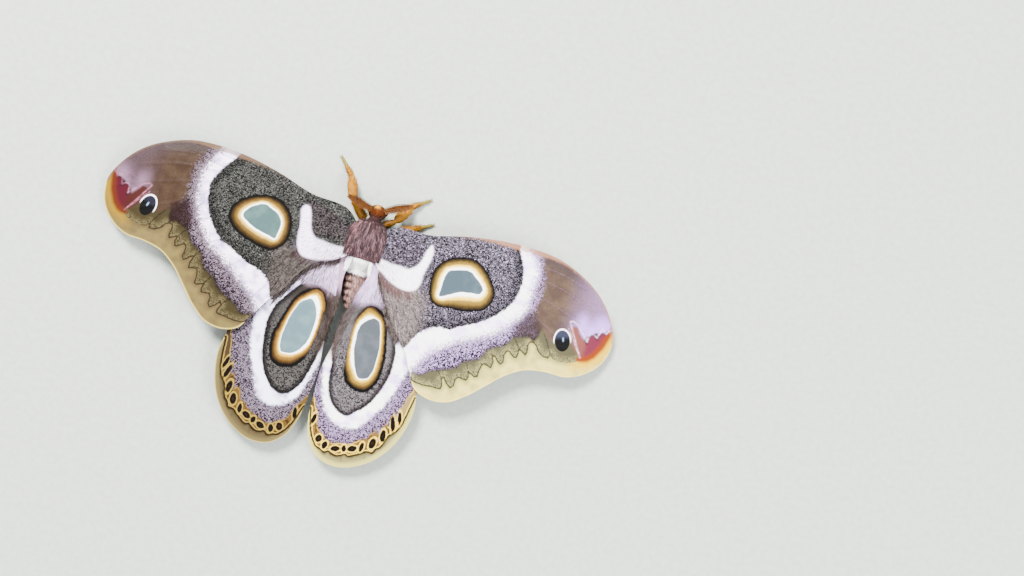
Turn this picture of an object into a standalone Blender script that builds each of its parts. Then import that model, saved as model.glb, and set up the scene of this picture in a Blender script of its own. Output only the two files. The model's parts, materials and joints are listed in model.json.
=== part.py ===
"""African emperor moth, life size, resting with its four wings spread.

Sizes below are in millimetres, and become metres when a mesh is made. +Y points to the
head, +X to the moth's right side and +Z up. The origin is on the belly, at the level of
the surface that the belly and the six feet rest on.
"""
import math
import random

import bmesh
import bpy
import numpy as np
from mathutils import Vector
from mathutils.geometry import delaunay_2d_cdt

MM = 0.001
GAP = 0.3  # air between two parts that touch on the living moth

# Thorax, head, eyes and palps: centre and radii of each egg-shaped part
THORAX_CENTRE = (0.0, -0.4, 3.75)
THORAX_RADII = (3.5, 4.9, 3.95)
HEAD_CENTRE = (0.4, 5.5, 3.3)
HEAD_RADII = (1.7, 1.5, 1.8)
EYE_RADIUS = 0.8
EYE_REACH = 1.35  # from the middle of the head out to an eye's centre
EYE_FORWARD = 0.4
EYE_BELOW = 0.4
PALP_RADII = (0.38, 0.85, 0.42)
PALP_REACH = 0.5
PALP_FORWARD = 1.35
PALP_BELOW = 1.1
# Round sides and rings of each egg's facets
THORAX_FACETS = (22, 14)
HEAD_FACETS = (18, 12)
EYE_FACETS = (16, 10)
PALP_FACETS = (10, 8)

# Abdomen: a tapering body of seven rings, a little lower than it is wide
ABDOMEN_FRONT = -4.3
ABDOMEN_LENGTH = 9.5
ABDOMEN_HEIGHT = 2.35  # of its middle line
ABDOMEN_RADIUS = 2.45
ABDOMEN_FLATTENING = 0.84
ABDOMEN_SEGMENTS = 7
ABDOMEN_GROOVE = 0.16
ABDOMEN_WAIST = 0.4  # share of the full radius where it meets the thorax
ABDOMEN_FULL_AT = 0.3  # share of the length where it is widest
ABDOMEN_SIDES = 16
ABDOMEN_TURN = math.radians(5.0)  # the tip points to the moth's right
ABDOMEN_SHIFT = -0.35

# Wing surface: nearly level, drooping to the tips, to the rear and over the front edge
WING_THICKNESS = 0.5
WING_HEIGHT = 6.9
SPAN_DROOP = 0.0010
REAR_SLOPE = 0.065
REAR_EASE = 3.0
TIP_DROOP = 0.012
TIP_START = 36.0
EDGE_ROLL = 0.03
EDGE_START = 3.0
HINDWING_DROP = 1.2  # the hindwing lies this far under the forewing
OUTLINE_STEP = 1.9
INNER_STEP = 3.4
VEIN_STEP = 3.0
VEIN_HALF_WIDTH = 0.55
VEIN_RISE = 0.24
VEIN_FADE = 2.5  # a vein sinks back into the wing over this length at its end

# Right forewing: front edge, round tip, waved outer edge and the start of the inner edge
FOREWING_EDGE = [
    (11.0, 4.1), (18.3, 5.9), (25.8, 7.0), (31.7, 7.1), (35.8, 6.6), (40.1, 5.1), (45.1, 2.1),
    (48.3, -1.5), (50.1, -5.5), (49.4, -9.5), (46.7, -12.6), (43.0, -14.3), (39.1, -14.4),
    (35.3, -15.1), (32.0, -17.1), (28.9, -20.1), (25.9, -23.0), (22.6, -25.1), (19.1, -25.4),
    (16.3, -24.3), (14.5, -21.5), (12.3, -17.5),
]
# Right hindwing: outer edge, round rear lobe and the start of the inner edge
HINDWING_EDGE = [
    (6.5, -3.9), (11.0, -6.5), (15.0, -11.5), (17.2, -17.5), (17.1, -25.0), (17.5, -28.8),
    (16.8, -32.7), (15.2, -36.5), (12.9, -39.4), (9.8, -41.6), (6.2, -42.7), (2.6, -42.0),
    (0.15, -39.6), (-1.2, -35.6), (-1.5, -30.8), (-1.6, -25.9), (-0.8, -20.7), (-0.6, -16.8),
]
# The inner edge near the body, then the root inside the thorax, for each side
FOREWING_BASE = {
    "right": [(9.5, -14.7), (7.85, -12.3), (4.85, -7.35), (3.5, -4.8),
              (1.2, -2.4), (-0.4, -0.5), (1.2, 1.6), (3.6, 3.2)],
    "left": [(-12.3, -12.75), (-10.4, -9.3), (-8.0, -6.7), (-4.0, -4.7),
             (-1.2, -2.4), (0.4, -0.5), (-1.2, 1.7), (-4.1, 4.0)],
}
HINDWING_BASE = {
    "right": [(0.1, -13.4), (1.2, -9.8), (2.0, -6.6), (1.3, -4.6), (1.2, -2.6), (3.0, -3.0)],
    "left": [(-1.8, -14.2), (-1.95, -11.0), (-2.3, -7.6), (-1.3, -4.6), (-1.2, -2.6),
             (-3.2, -2.9)],
}
# The left wings are the right ones mirrored, then turned and moved as the moth holds them:
# hinge, turn in degrees, scale along and across, and shift
FOREWING_LEFT_POSE = ((3.0, 0.0), 2.35, (0.961, 0.997), (2.09, 1.065))
HINDWING_LEFT_POSE = ((3.0, -3.0), 3.88, (0.998, 1.005), (1.98, 0.27))

# Middle lines of the main veins of the right wings
FOREWING_VEINS = [
    [(5.0, 2.3), (12.0, 3.1), (22.0, 5.2), (33.0, 5.9)],
    [(5.0, 1.0), (12.0, 1.8), (21.0, 3.1), (28.0, 3.5), (36.0, 4.2), (41.6, 2.9)],
    [(29.5, 2.4), (38.0, 1.3), (46.4, -1.7)],
    [(26.5, 1.2), (36.0, -1.6), (44.0, -4.2), (48.6, -6.4)],
    [(26.6, -1.6), (33.0, -4.4), (41.0, -8.2), (46.9, -11.0)],
    [(25.2, -4.6), (31.0, -8.0), (36.5, -11.6), (39.6, -13.4)],
    [(21.5, -7.2), (27.0, -11.0), (32.6, -15.4)],
    [(15.4, -7.4), (20.5, -12.8), (26.7, -20.9)],
    [(5.0, -0.8), (9.4, -2.6), (13.4, -5.2)],
    [(5.0, -3.0), (9.0, -8.4), (14.0, -15.6), (19.2, -24.0)],
]
HINDWING_VEINS = [
    [(5.0, -4.4), (10.0, -7.4), (13.8, -12.4), (16.0, -18.0), (16.2, -24.0)],
    [(5.0, -6.4), (9.4, -12.2), (12.0, -18.0), (14.4, -25.0), (15.9, -31.2)],
    [(11.2, -21.0), (13.2, -28.0), (13.9, -36.2)],
    [(9.6, -25.6), (10.8, -32.0), (10.9, -39.6)],
    [(7.6, -29.4), (7.2, -35.0), (6.8, -41.2)],
    [(3.0, -6.6), (2.7, -12.0), (1.5, -18.0), (2.0, -24.0), (3.8, -29.6), (3.3, -40.6)],
    [(0.4, -19.0), (0.2, -28.0), (0.7, -37.6)],
]

# Legs: hip, knee, ankle and tip. The hips are inside the thorax and the tips on the floor.
LEG_ROUTES = {
    "foreleg_left": [(-1.3, 3.0, 2.2), (-4.7, 6.7, 3.0), (-6.2, 11.0, 1.2), (-9.0, 14.0, 0.0)],
    "foreleg_right": [(1.4, 3.0, 2.2), (4.1, 4.9, 3.0), (6.4, 8.6, 1.2), (9.5, 10.75, 0.0)],
    "midleg_left": [(-2.0, 0.6, 1.8), (-5.4, 2.0, 3.1), (-8.6, 3.4, 1.2), (-12.4, 3.0, 0.0)],
    "midleg_right": [(2.0, 0.6, 1.8), (4.5, 2.4, 3.1), (7.6, 4.5, 1.2), (11.2, 6.4, 0.0)],
    "hindleg_left": [(-1.8, -2.6, 1.7), (-5.1, -6.2, 3.0), (-7.6, -11.2, 1.2),
                     (-9.4, -16.8, 0.0)],
    "hindleg_right": [(1.8, -2.6, 1.7), (4.9, -6.2, 3.0), (7.4, -11.2, 1.2), (9.2, -16.8, 0.0)],
}
FEMUR_RADIUS = 0.65
TIBIA_RADIUS = 0.85
TARSUS_RADIUS = 0.5
FOOT_RADIUS = 0.42
FOOT_SINK = 0.1  # the foot's round underside is cut level this far up, as a small flat
FOOT_LENGTH = 1.6

# Antennae: root on the head and tip of the shaft, and the branches along both its sides
ANTENNA_ENDS = {
    "left": ((-0.1, 5.7, 4.2), (-6.2, 7.2, 5.3)),
    "right": ((0.95, 5.8, 4.2), (6.3, 8.4, 5.3)),
}
ANTENNA_SHAFT_RADIUS = 0.27
ANTENNA_TAPER = 0.35
ANTENNA_BRANCHES = 8
ANTENNA_BRANCH_LENGTH = 1.25
ANTENNA_BRANCH_RADIUS = 0.26
ANTENNA_BRANCH_START = 0.24  # share of the shaft that is bare at its root
ANTENNA_BRANCH_END = 0.93
ANTENNA_STAGGER = 0.07  # the two branches of a pair are set this far off one another
ANTENNA_BRANCH_LEAN = math.radians(42.0)  # forward from square to the shaft

# Coat of the thorax: rows of flat locks that stream back over the wing roots
LOCK_ROWS = 10
LOCK_COLUMNS = 5
LOCK_FRONT = 3.9
LOCK_REAR = -3.7
LOCK_SPREAD = 1.7  # from the middle of the back to the outermost roots
LOCK_OVAL = 6.2  # half length of the oval that the roots fill
LOCK_LENGTH = 3.0
LOCK_WIDTH = 1.15
LOCK_THICKNESS = 0.5
LOCK_ROOT_DEPTH = 0.6
LOCK_FAN = 0.6  # radians outward for each millimetre from the middle
SHOULDER_FAN = 0.9  # this share more at the front, where the locks part over the shoulders
LOCK_LIFT = 0.28
OVER_FOREWING = 7.45  # the lowest that a lock may lie over each neighbour
OVER_HINDWING = 6.35
OVER_ABDOMEN = 4.95
SKIN_SPARED = 0.06  # a lock may keep this much of its depth where a wing root meets the skin
ROOT_CUTTER_REACH = 6.5
WING_ROOT_REACH = 0.5  # nearer to the middle than this a lock has no wing under it
WING_ROOT_FRONT = 1.5
WING_ROOT_SLANT = 0.65
FOREWING_ROOT_REAR = 5.2

# Silky locks along the inner edge of each hindwing: root and tip on the wing
HINDWING_LOCKS = {
    "right": [((3.4, -7.0), (2.6, -11.4)), ((2.6, -6.4), (1.3, -10.6)),
              ((2.3, -8.6), (0.7, -12.6)), ((2.9, -9.4), (1.6, -13.8)),
              ((1.9, -11.0), (0.2, -14.6))],
    "left": [((-3.6, -6.8), (-3.3, -11.2)), ((-2.8, -6.4), (-2.1, -10.4)),
             ((-2.7, -8.8), (-1.9, -12.8)), ((-3.4, -9.6), (-2.7, -13.8)),
             ((-2.5, -11.4), (-1.8, -15.4))],
}
SILK_WIDTH = 0.8
SILK_RISE = 0.32  # a silky lock's middle above the wing's middle surface

# Colours: red, green and blue, then roughness
FINISHES = {
    "wing_scales": ((0.30, 0.19, 0.13), 0.85),
    "body_hair": ((0.36, 0.22, 0.16), 0.9),
    "antenna_feather": ((0.33, 0.15, 0.06), 0.8),
    "leg_hair": ((0.62, 0.40, 0.20), 0.75),
    "eye_facets": ((0.03, 0.02, 0.02), 0.25),
}


def start_collections():
    """Empty the file and make one collection for the moth and one for its cutters."""
    for old in list(bpy.data.objects):
        bpy.data.objects.remove(old)
    parts = bpy.data.collections.new("emperor_moth")
    cutters = bpy.data.collections.new("cutters")
    bpy.context.scene.collection.children.link(parts)
    bpy.context.scene.collection.children.link(cutters)
    return parts, cutters


def make_finish(name):
    colour, roughness = FINISHES[name]
    material = bpy.data.materials.new(name)
    material.use_nodes = True
    shader = material.node_tree.nodes["Principled BSDF"]
    shader.inputs["Base Color"].default_value = (*colour, 1.0)
    shader.inputs["Roughness"].default_value = roughness
    shader.inputs["Metallic"].default_value = 0.0
    return material


def add_object(name, mesh, collection, finish=None):
    obj = bpy.data.objects.new(name, mesh)
    collection.objects.link(obj)
    if finish is not None:
        mesh.materials.clear()
        mesh.materials.append(finish)
    return obj


def add_cutter(name, mesh, collection):
    obj = add_object(name, mesh, collection)
    obj.hide_render = True
    obj.display_type = "WIRE"
    return obj


def applied_mesh(obj):
    """A mesh of the object as its modifiers leave it, in world space."""
    graph = bpy.context.evaluated_depsgraph_get()
    mesh = bpy.data.meshes.new_from_object(obj.evaluated_get(graph))
    mesh.transform(obj.matrix_world)
    return mesh


def keep_largest(mesh):
    """Keep only the largest closed surface of a mesh."""
    bm = bmesh.new()
    bm.from_mesh(mesh)
    bm.faces.ensure_lookup_table()
    unseen = set(bm.faces)
    shells = []
    while unseen:
        shell = {unseen.pop()}
        edge_of_shell = list(shell)
        while edge_of_shell:
            face = edge_of_shell.pop()
            for edge in face.edges:
                for neighbour in edge.link_faces:
                    if neighbour in unseen:
                        unseen.remove(neighbour)
                        shell.add(neighbour)
                        edge_of_shell.append(neighbour)
        shells.append(shell)
    largest = max(shells, key=lambda shell: sum(face.calc_area() for face in shell))
    scraps = [face for face in bm.faces if face not in largest]
    bmesh.ops.delete(bm, geom=scraps, context="FACES")
    bmesh.ops.triangulate(bm, faces=bm.faces[:])
    bm.to_mesh(mesh)
    bm.free()


def cut_clear(obj, cutters):
    """Cut an object clear of its neighbours and keep its largest closed surface."""
    for cutter in cutters:
        cut = obj.modifiers.new("clear of " + cutter.name, "BOOLEAN")
        cut.operation = "DIFFERENCE"
        cut.object = cutter
    bpy.context.view_layer.update()
    mesh = applied_mesh(obj)
    keep_largest(mesh)
    obj.modifiers.clear()
    obj.data = mesh
    return obj


def cut_level(mesh):
    """Cut off what lies below the floor and close the cut with a flat face."""
    bm = bmesh.new()
    bm.from_mesh(mesh)
    bmesh.ops.bisect_plane(
        bm, geom=bm.verts[:] + bm.edges[:] + bm.faces[:], dist=1e-7,
        plane_co=(0, 0, 0), plane_no=(0, 0, 1), clear_inner=True)
    rim = [edge for edge in bm.edges if edge.is_boundary]
    bmesh.ops.edgeloop_fill(bm, edges=rim)
    bmesh.ops.recalc_face_normals(bm, faces=bm.faces[:])
    bmesh.ops.triangulate(bm, faces=bm.faces[:])
    bm.to_mesh(mesh)
    bm.free()


def join_pieces(obj, pieces):
    """Join closed meshes to an object with one union, and remove them."""
    bpy.context.scene.collection.children.link(pieces)
    union = obj.modifiers.new("join", "BOOLEAN")
    union.operation = "UNION"
    union.operand_type = "COLLECTION"
    union.collection = pieces
    bpy.context.view_layer.update()
    mesh = applied_mesh(obj)
    obj.modifiers.clear()
    for piece in list(pieces.objects):
        bpy.data.objects.remove(piece)
    bpy.data.collections.remove(pieces)
    keep_largest(mesh)
    obj.data = mesh
    return obj


def egg_mesh(name, centre, radii, facets):
    """A UV sphere stretched to an egg, with its poles to the front and back."""
    bpy.ops.mesh.primitive_uv_sphere_add(segments=facets[0], ring_count=facets[1], radius=1.0)
    sphere = bpy.context.object
    mesh = sphere.data.copy()
    mesh.name = name
    bpy.data.objects.remove(sphere)
    for vertex in mesh.vertices:
        x, z, y = vertex.co
        reach = Vector((x * radii[0], -y * radii[1], z * radii[2]))
        vertex.co = (Vector(centre) + reach) * MM
    bm = bmesh.new()
    bm.from_mesh(mesh)
    bmesh.ops.recalc_face_normals(bm, faces=bm.faces[:])
    bm.to_mesh(mesh)
    bm.free()
    return mesh


def grown(radii, amount=GAP):
    return tuple(radius + amount for radius in radii)


def smooth_line(points, step, closed=False):
    """Evenly spaced points on a smooth curve through the given points."""
    knots = [Vector(point) for point in points]
    count = len(knots)

    def slope(i):
        before = knots[(i - 1) % count] if closed or i > 0 else knots[0] * 2 - knots[1]
        after = knots[(i + 1) % count] if closed or i < count - 1 else knots[i] * 2 - knots[i - 1]
        back = knots[i] - before
        ahead = after - knots[i]
        whole = back.length + ahead.length
        return (back * (ahead.length / back.length) + ahead * (back.length / ahead.length)) / whole

    fine = []
    for i in range(count if closed else count - 1):
        j = (i + 1) % count
        reach = (knots[j] - knots[i]).length
        for k in range(16):
            t = k / 16
            fine.append(knots[i] * (2 * t ** 3 - 3 * t ** 2 + 1)
                        + slope(i) * (reach * (t ** 3 - 2 * t ** 2 + t))
                        + knots[j] * (3 * t ** 2 - 2 * t ** 3)
                        + slope(j) * (reach * (t ** 3 - t ** 2)))
    fine.append(knots[0].copy() if closed else knots[-1].copy())
    along = [0.0]
    for a, b in zip(fine, fine[1:]):
        along.append(along[-1] + (b - a).length)
    parts = max(2, round(along[-1] / step))
    line = []
    place = 0
    for k in range(parts if closed else parts + 1):
        target = along[-1] * k / parts
        while place < len(fine) - 2 and along[place + 1] < target:
            place += 1
        share = (target - along[place]) / max(along[place + 1] - along[place], 1e-9)
        line.append(fine[place].lerp(fine[place + 1], min(share, 1.0)))
    return line


def wing_height(x, y):
    """Height of the middle of the forewing above the floor."""
    across = abs(x)
    behind = 0.5 * (math.sqrt(y * y + REAR_EASE ** 2) - y)
    return (WING_HEIGHT - SPAN_DROOP * across ** 2 - REAR_SLOPE * behind
            - TIP_DROOP * max(across - TIP_START, 0.0) ** 2
            - EDGE_ROLL * max(y - EDGE_START, 0.0) ** 2)


def placed_left(points, pose):
    """Points of a right wing as they lie on the left wing."""
    (hinge_x, hinge_y), degrees, (scale_x, scale_y), (shift_x, shift_y) = pose
    turn = math.radians(degrees)
    placed = []
    for x, y in points:
        out = (x - hinge_x) * scale_x
        ahead = (y - hinge_y) * scale_y
        side = out * math.cos(turn) - ahead * math.sin(turn) + hinge_x + shift_x
        front = out * math.sin(turn) + ahead * math.cos(turn) + hinge_y + shift_y
        placed.append((-side, front))
    return placed


def distance_to_line(points, line):
    """Distance of each point to a chain of points, and how far along the chain it is."""
    points = np.asarray(points, float)[:, None, :]
    starts = np.asarray(line[:-1], float)[None]
    steps = np.asarray(line[1:], float)[None] - starts
    lengths = np.linalg.norm(steps, axis=2)
    share = np.clip(((points - starts) * steps).sum(2) / lengths ** 2, 0.0, 1.0)
    away = np.linalg.norm(points - starts - steps * share[..., None], axis=2)
    nearest = away.argmin(1)
    rows = np.arange(len(nearest))
    run = np.concatenate([[0.0], np.cumsum(lengths[0])])
    along = run[nearest] + share[rows, nearest] * lengths[0][nearest]
    return away[rows, nearest], along, run[-1]


def is_inside(points, loop):
    """Whether each point is inside a closed loop."""
    points = np.asarray(points, float)
    loop = np.asarray(loop, float)
    ends = np.roll(loop, -1, axis=0)
    inside = np.zeros(len(points), bool)
    for (ax, ay), (bx, by) in zip(loop, ends):
        spans = (ay > points[:, 1]) != (by > points[:, 1])
        cross = (bx - ax) * (points[:, 1] - ay) / (by - ay if by != ay else 1e-12) + ax
        inside ^= spans & (points[:, 0] < cross)
    return inside


def vein_rise(points, veins):
    """How far the veins lift the wing's upper face: from nothing at both ends of each."""
    rise = np.zeros(len(points))
    for vein in veins:
        away, along, length = distance_to_line(points, vein)
        crest = np.clip(1.0 - away / VEIN_HALF_WIDTH, 0.0, 1.0)
        end = np.clip(np.minimum(along, length - along) / VEIN_FADE, 0.0, 1.0)
        rise = np.maximum(rise, VEIN_RISE * crest * end)
    return rise


def side_line(line, offset):
    """A line beside another one, at an offset to its left."""
    moved = []
    for i, point in enumerate(line):
        ahead = line[min(i + 1, len(line) - 1)] - line[max(i - 1, 0)]
        ahead.normalize()
        moved.append(point + Vector((-ahead.y, ahead.x)) * offset)
    return moved


def wing_mesh(name, edge_points, vein_points, drop, grow=0.0):
    """A thin wing with raised veins. Both faces are split into the same triangles."""
    loop = smooth_line(edge_points, OUTLINE_STEP, closed=True)
    if grow:
        to_outside = grow if is_inside(side_line(loop, grow)[3:4], loop)[0] else -grow
        loop = side_line(loop, -to_outside)
    half = WING_THICKNESS / 2 + grow
    veins = [smooth_line(points, VEIN_STEP) for points in vein_points]
    spots = list(loop)
    edges = [(i, (i + 1) % len(loop)) for i in range(len(loop))]
    ring = loop + [loop[0]]
    for vein in veins:
        for offset in (-VEIN_HALF_WIDTH, 0.0, VEIN_HALF_WIDTH):
            line = side_line(vein, offset)
            away, _, _ = distance_to_line(line, ring)
            clear = is_inside(line, loop) & (away > 0.5)
            for i, point in enumerate(line):
                if clear[i]:
                    spots.append(point)
                    if i > 0 and clear[i - 1]:
                        edges.append((len(spots) - 2, len(spots) - 1))
    low = np.min(loop, axis=0)
    high = np.max(loop, axis=0)
    grid = []
    for row, y in enumerate(np.arange(low[1], high[1], INNER_STEP * 0.87)):
        for x in np.arange(low[0] + (row % 2) * INNER_STEP / 2, high[0], INNER_STEP):
            grid.append((x, y))
    keep = is_inside(grid, loop) & (distance_to_line(grid, ring)[0] > INNER_STEP * 0.5)
    for vein in veins:
        keep &= distance_to_line(grid, vein)[0] > VEIN_HALF_WIDTH + INNER_STEP * 0.35
    spots.extend(Vector(point) for point, kept in zip(grid, keep) if kept)
    flat, _, triangles, *_ = delaunay_2d_cdt(spots, edges, [], 1, 1e-4)
    rise = vein_rise(flat, veins)
    bm = bmesh.new()
    top = []
    bottom = []
    for (x, y), lift in zip(flat, rise):
        middle = wing_height(x, y) - drop
        top.append(bm.verts.new(Vector((x, y, middle + half + lift)) * MM))
        bottom.append(bm.verts.new(Vector((x, y, middle - half)) * MM))
    uses = {}
    for a, b, c in triangles:
        bm.faces.new((top[a], top[b], top[c]))
        bm.faces.new((bottom[c], bottom[b], bottom[a]))
        for start, end in ((a, b), (b, c), (c, a)):
            uses[(start, end)] = True
    for start, end in uses:
        if (end, start) not in uses:
            bm.faces.new((top[start], bottom[start], bottom[end]))
            bm.faces.new((top[start], bottom[end], top[end]))
    loose = [vertex for vertex in bm.verts if not vertex.link_faces]
    bmesh.ops.delete(bm, geom=loose, context="VERTS")
    bmesh.ops.recalc_face_normals(bm, faces=bm.faces[:])
    mesh = bpy.data.meshes.new(name)
    bm.to_mesh(mesh)
    bm.free()
    return mesh


def make_wing(name, pair, side, parts, finish, cutters):
    if pair == "forewing":
        edge, base, veins = FOREWING_EDGE, FOREWING_BASE[side], FOREWING_VEINS
        pose, drop = FOREWING_LEFT_POSE, 0.0
    else:
        edge, base, veins = HINDWING_EDGE, HINDWING_BASE[side], HINDWING_VEINS
        pose, drop = HINDWING_LEFT_POSE, HINDWING_DROP
    if side == "left":
        edge = placed_left(edge, pose)
        veins = [placed_left(vein, pose) for vein in veins]
    wing = add_object(name, wing_mesh(name, edge + base, veins, drop), parts, finish)
    return cut_clear(wing, cutters)


def make_tube(name, points, radii, collection, finish):
    """A tapering tube along a chain of points, as one closed mesh."""
    curve = bpy.data.curves.new(name, "CURVE")
    curve.dimensions = "3D"
    curve.bevel_depth = MM
    curve.bevel_resolution = 2
    curve.use_fill_caps = True
    spline = curve.splines.new("POLY")
    spline.points.add(len(points) - 1)
    for spot, point, radius in zip(spline.points, points, radii):
        spot.co = (*(Vector(point) * MM), 1.0)
        spot.radius = radius
    guide = add_object(name + "_guide", curve, collection)
    bpy.context.view_layer.update()
    mesh = applied_mesh(guide)
    bpy.data.objects.remove(guide)
    bm = bmesh.new()
    bm.from_mesh(mesh)
    bmesh.ops.remove_doubles(bm, verts=bm.verts[:], dist=1e-6)
    bmesh.ops.recalc_face_normals(bm, faces=bm.faces[:])
    bm.to_mesh(mesh)
    bm.free()
    return add_object(name, mesh, collection, finish)


def make_leg(name, parts, finish, cutters):
    """One leg: femur, stout hairy tibia and thin tarsus, which ends in a flat foot."""
    hip, knee, ankle, tip = (Vector(point) for point in LEG_ROUTES[name])
    foot_level = FOOT_RADIUS - FOOT_SINK
    tip.z = foot_level
    heel = ankle.lerp(tip, 1.0 - FOOT_LENGTH / (tip - ankle).length)
    heel.z = foot_level
    stations = [
        (hip, FEMUR_RADIUS),
        (hip.lerp(knee, 0.5), FEMUR_RADIUS),
        (hip.lerp(knee, 0.9), FEMUR_RADIUS * 0.9),
        (knee, FEMUR_RADIUS),
        (knee.lerp(ankle, 0.18), TIBIA_RADIUS * 0.9),
        (knee.lerp(ankle, 0.5), TIBIA_RADIUS),
        (knee.lerp(ankle, 0.85), TIBIA_RADIUS * 0.85),
        (ankle, TARSUS_RADIUS * 1.05),
        (ankle.lerp(heel, 0.2), TARSUS_RADIUS),
        (ankle.lerp(heel, 0.6), TARSUS_RADIUS * 0.95),
        (heel, FOOT_RADIUS),
        (heel.lerp(tip, 0.8), FOOT_RADIUS),
        (tip, FOOT_RADIUS * 0.55),
    ]
    leg = make_tube(name, [s[0] for s in stations], [s[1] for s in stations], parts, finish)
    cut_clear(leg, cutters)
    cut_level(leg.data)
    return leg


def make_abdomen(parts, finish, cutters):
    """The abdomen, turned from a ringed profile, then flattened and swung to its side."""
    profile = []
    steps = ABDOMEN_SEGMENTS * 2
    for i in range(steps + 1):
        share = i / steps
        rise = min(share / ABDOMEN_FULL_AT, 1.0)
        swell = ABDOMEN_WAIST + (1.0 - ABDOMEN_WAIST) * math.sin(math.pi / 2 * rise)
        fall = max(share - ABDOMEN_FULL_AT, 0.0) / (1.0 - ABDOMEN_FULL_AT)
        taper = math.sqrt(max(1.0 - fall ** 2, 0.0))
        groove = ABDOMEN_GROOVE if i % 2 == 0 else 0.0
        radius = max(ABDOMEN_RADIUS * swell * taper - groove, 0.0)
        profile.append((radius, -share * ABDOMEN_LENGTH))
    profile.insert(0, (0.0, 0.0))
    mesh = bpy.data.meshes.new("abdomen_profile")
    mesh.from_pydata([(x * MM, y * MM, 0.0) for x, y in profile],
                     [(i, i + 1) for i in range(len(profile) - 1)], [])
    turned = add_object("abdomen", mesh, parts)
    screw = turned.modifiers.new("turn", "SCREW")
    screw.axis = "Y"
    screw.steps = ABDOMEN_SIDES
    screw.render_steps = ABDOMEN_SIDES
    screw.use_merge_vertices = True
    screw.merge_threshold = 1e-6
    turned.location = Vector((ABDOMEN_SHIFT, ABDOMEN_FRONT, ABDOMEN_HEIGHT)) * MM
    turned.rotation_euler = (0.0, 0.0, ABDOMEN_TURN)
    turned.scale = (1.0, 1.0, ABDOMEN_FLATTENING)
    bpy.context.view_layer.update()
    solid = applied_mesh(turned)
    bpy.data.objects.remove(turned)
    bm = bmesh.new()
    bm.from_mesh(solid)
    bmesh.ops.remove_doubles(bm, verts=bm.verts[:], dist=1e-6)
    bmesh.ops.recalc_face_normals(bm, faces=bm.faces[:])
    bm.to_mesh(solid)
    bm.free()
    return cut_clear(add_object("abdomen", solid, parts, finish), cutters)


def strip_mesh(name, middles, half_widths, half_depths, ups):
    """A flat tapered strip with four sides, which ends in a point at its last place."""
    bm = bmesh.new()
    rings = []
    for i, middle in enumerate(middles[:-1]):
        ahead = (middles[i + 1] - middles[max(i - 1, 0)]).normalized()
        side = ahead.cross(ups[i]).normalized()
        up = side.cross(ahead)
        wide = side * half_widths[i]
        deep = up * half_depths[i]
        rings.append([bm.verts.new((middle + offset) * MM)
                      for offset in (wide, deep, -wide, -deep)])
    tip = bm.verts.new(middles[-1] * MM)
    for one, two in zip(rings, rings[1:]):
        for k in range(4):
            bm.faces.new((one[k], one[(k + 1) % 4], two[(k + 1) % 4], two[k]))
    for k in range(4):
        bm.faces.new((rings[-1][k], rings[-1][(k + 1) % 4], tip))
    bm.faces.new(rings[0])
    bmesh.ops.triangulate(bm, faces=bm.faces[:])
    bmesh.ops.recalc_face_normals(bm, faces=bm.faces[:])
    mesh = bpy.data.meshes.new(name)
    bm.to_mesh(mesh)
    bm.free()
    return mesh


def thorax_top(x, y):
    """Height of the thorax's own upper surface, or of its middle outside it."""
    across = (x - THORAX_CENTRE[0]) / THORAX_RADII[0]
    along = (y - THORAX_CENTRE[1]) / THORAX_RADII[1]
    bulge = math.sqrt(max(1.0 - across ** 2 - along ** 2, 0.0))
    return THORAX_CENTRE[2] + THORAX_RADII[2] * bulge


def coat_floor(x, y):
    """The lowest level for a lock: on the thorax, over the wing roots and the abdomen."""
    skin = thorax_top(x, y)
    on_forewing = min(max(y + FOREWING_ROOT_REAR, 0.0), 1.0)
    over_wing = OVER_HINDWING + (OVER_FOREWING - OVER_HINDWING) * on_forewing
    outside = min(max((abs(x) - WING_ROOT_REACH) / 0.3, 0.0), 1.0)
    ahead = y - WING_ROOT_FRONT - (abs(x) - WING_ROOT_REACH) * WING_ROOT_SLANT
    outside *= min(max(1.6 - ahead * 2.0, 0.0), 1.0)
    return max(skin, skin + (over_wing - skin) * outside, OVER_ABDOMEN)


def around_wing_roots(cutters):
    """Cutters that keep the locks clear of the four wing roots, but spare the thorax."""
    skin = add_cutter("thorax_skin", egg_mesh(
        "thorax_skin", THORAX_CENTRE, grown(THORAX_RADII, SKIN_SPARED), THORAX_FACETS), cutters)
    made = []
    for side in ("left", "right"):
        for base, drop in ((FOREWING_BASE[side], 0.0), (HINDWING_BASE[side], HINDWING_DROP)):
            near = [point for point in base if abs(point[0]) < ROOT_CUTTER_REACH]
            name = f"around_root_{side}_{len(made)}"
            cutter = add_cutter(name, wing_mesh(name, near, [], drop, grow=GAP), cutters)
            made.append(cut_clear(cutter, [skin]))
    return made


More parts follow.
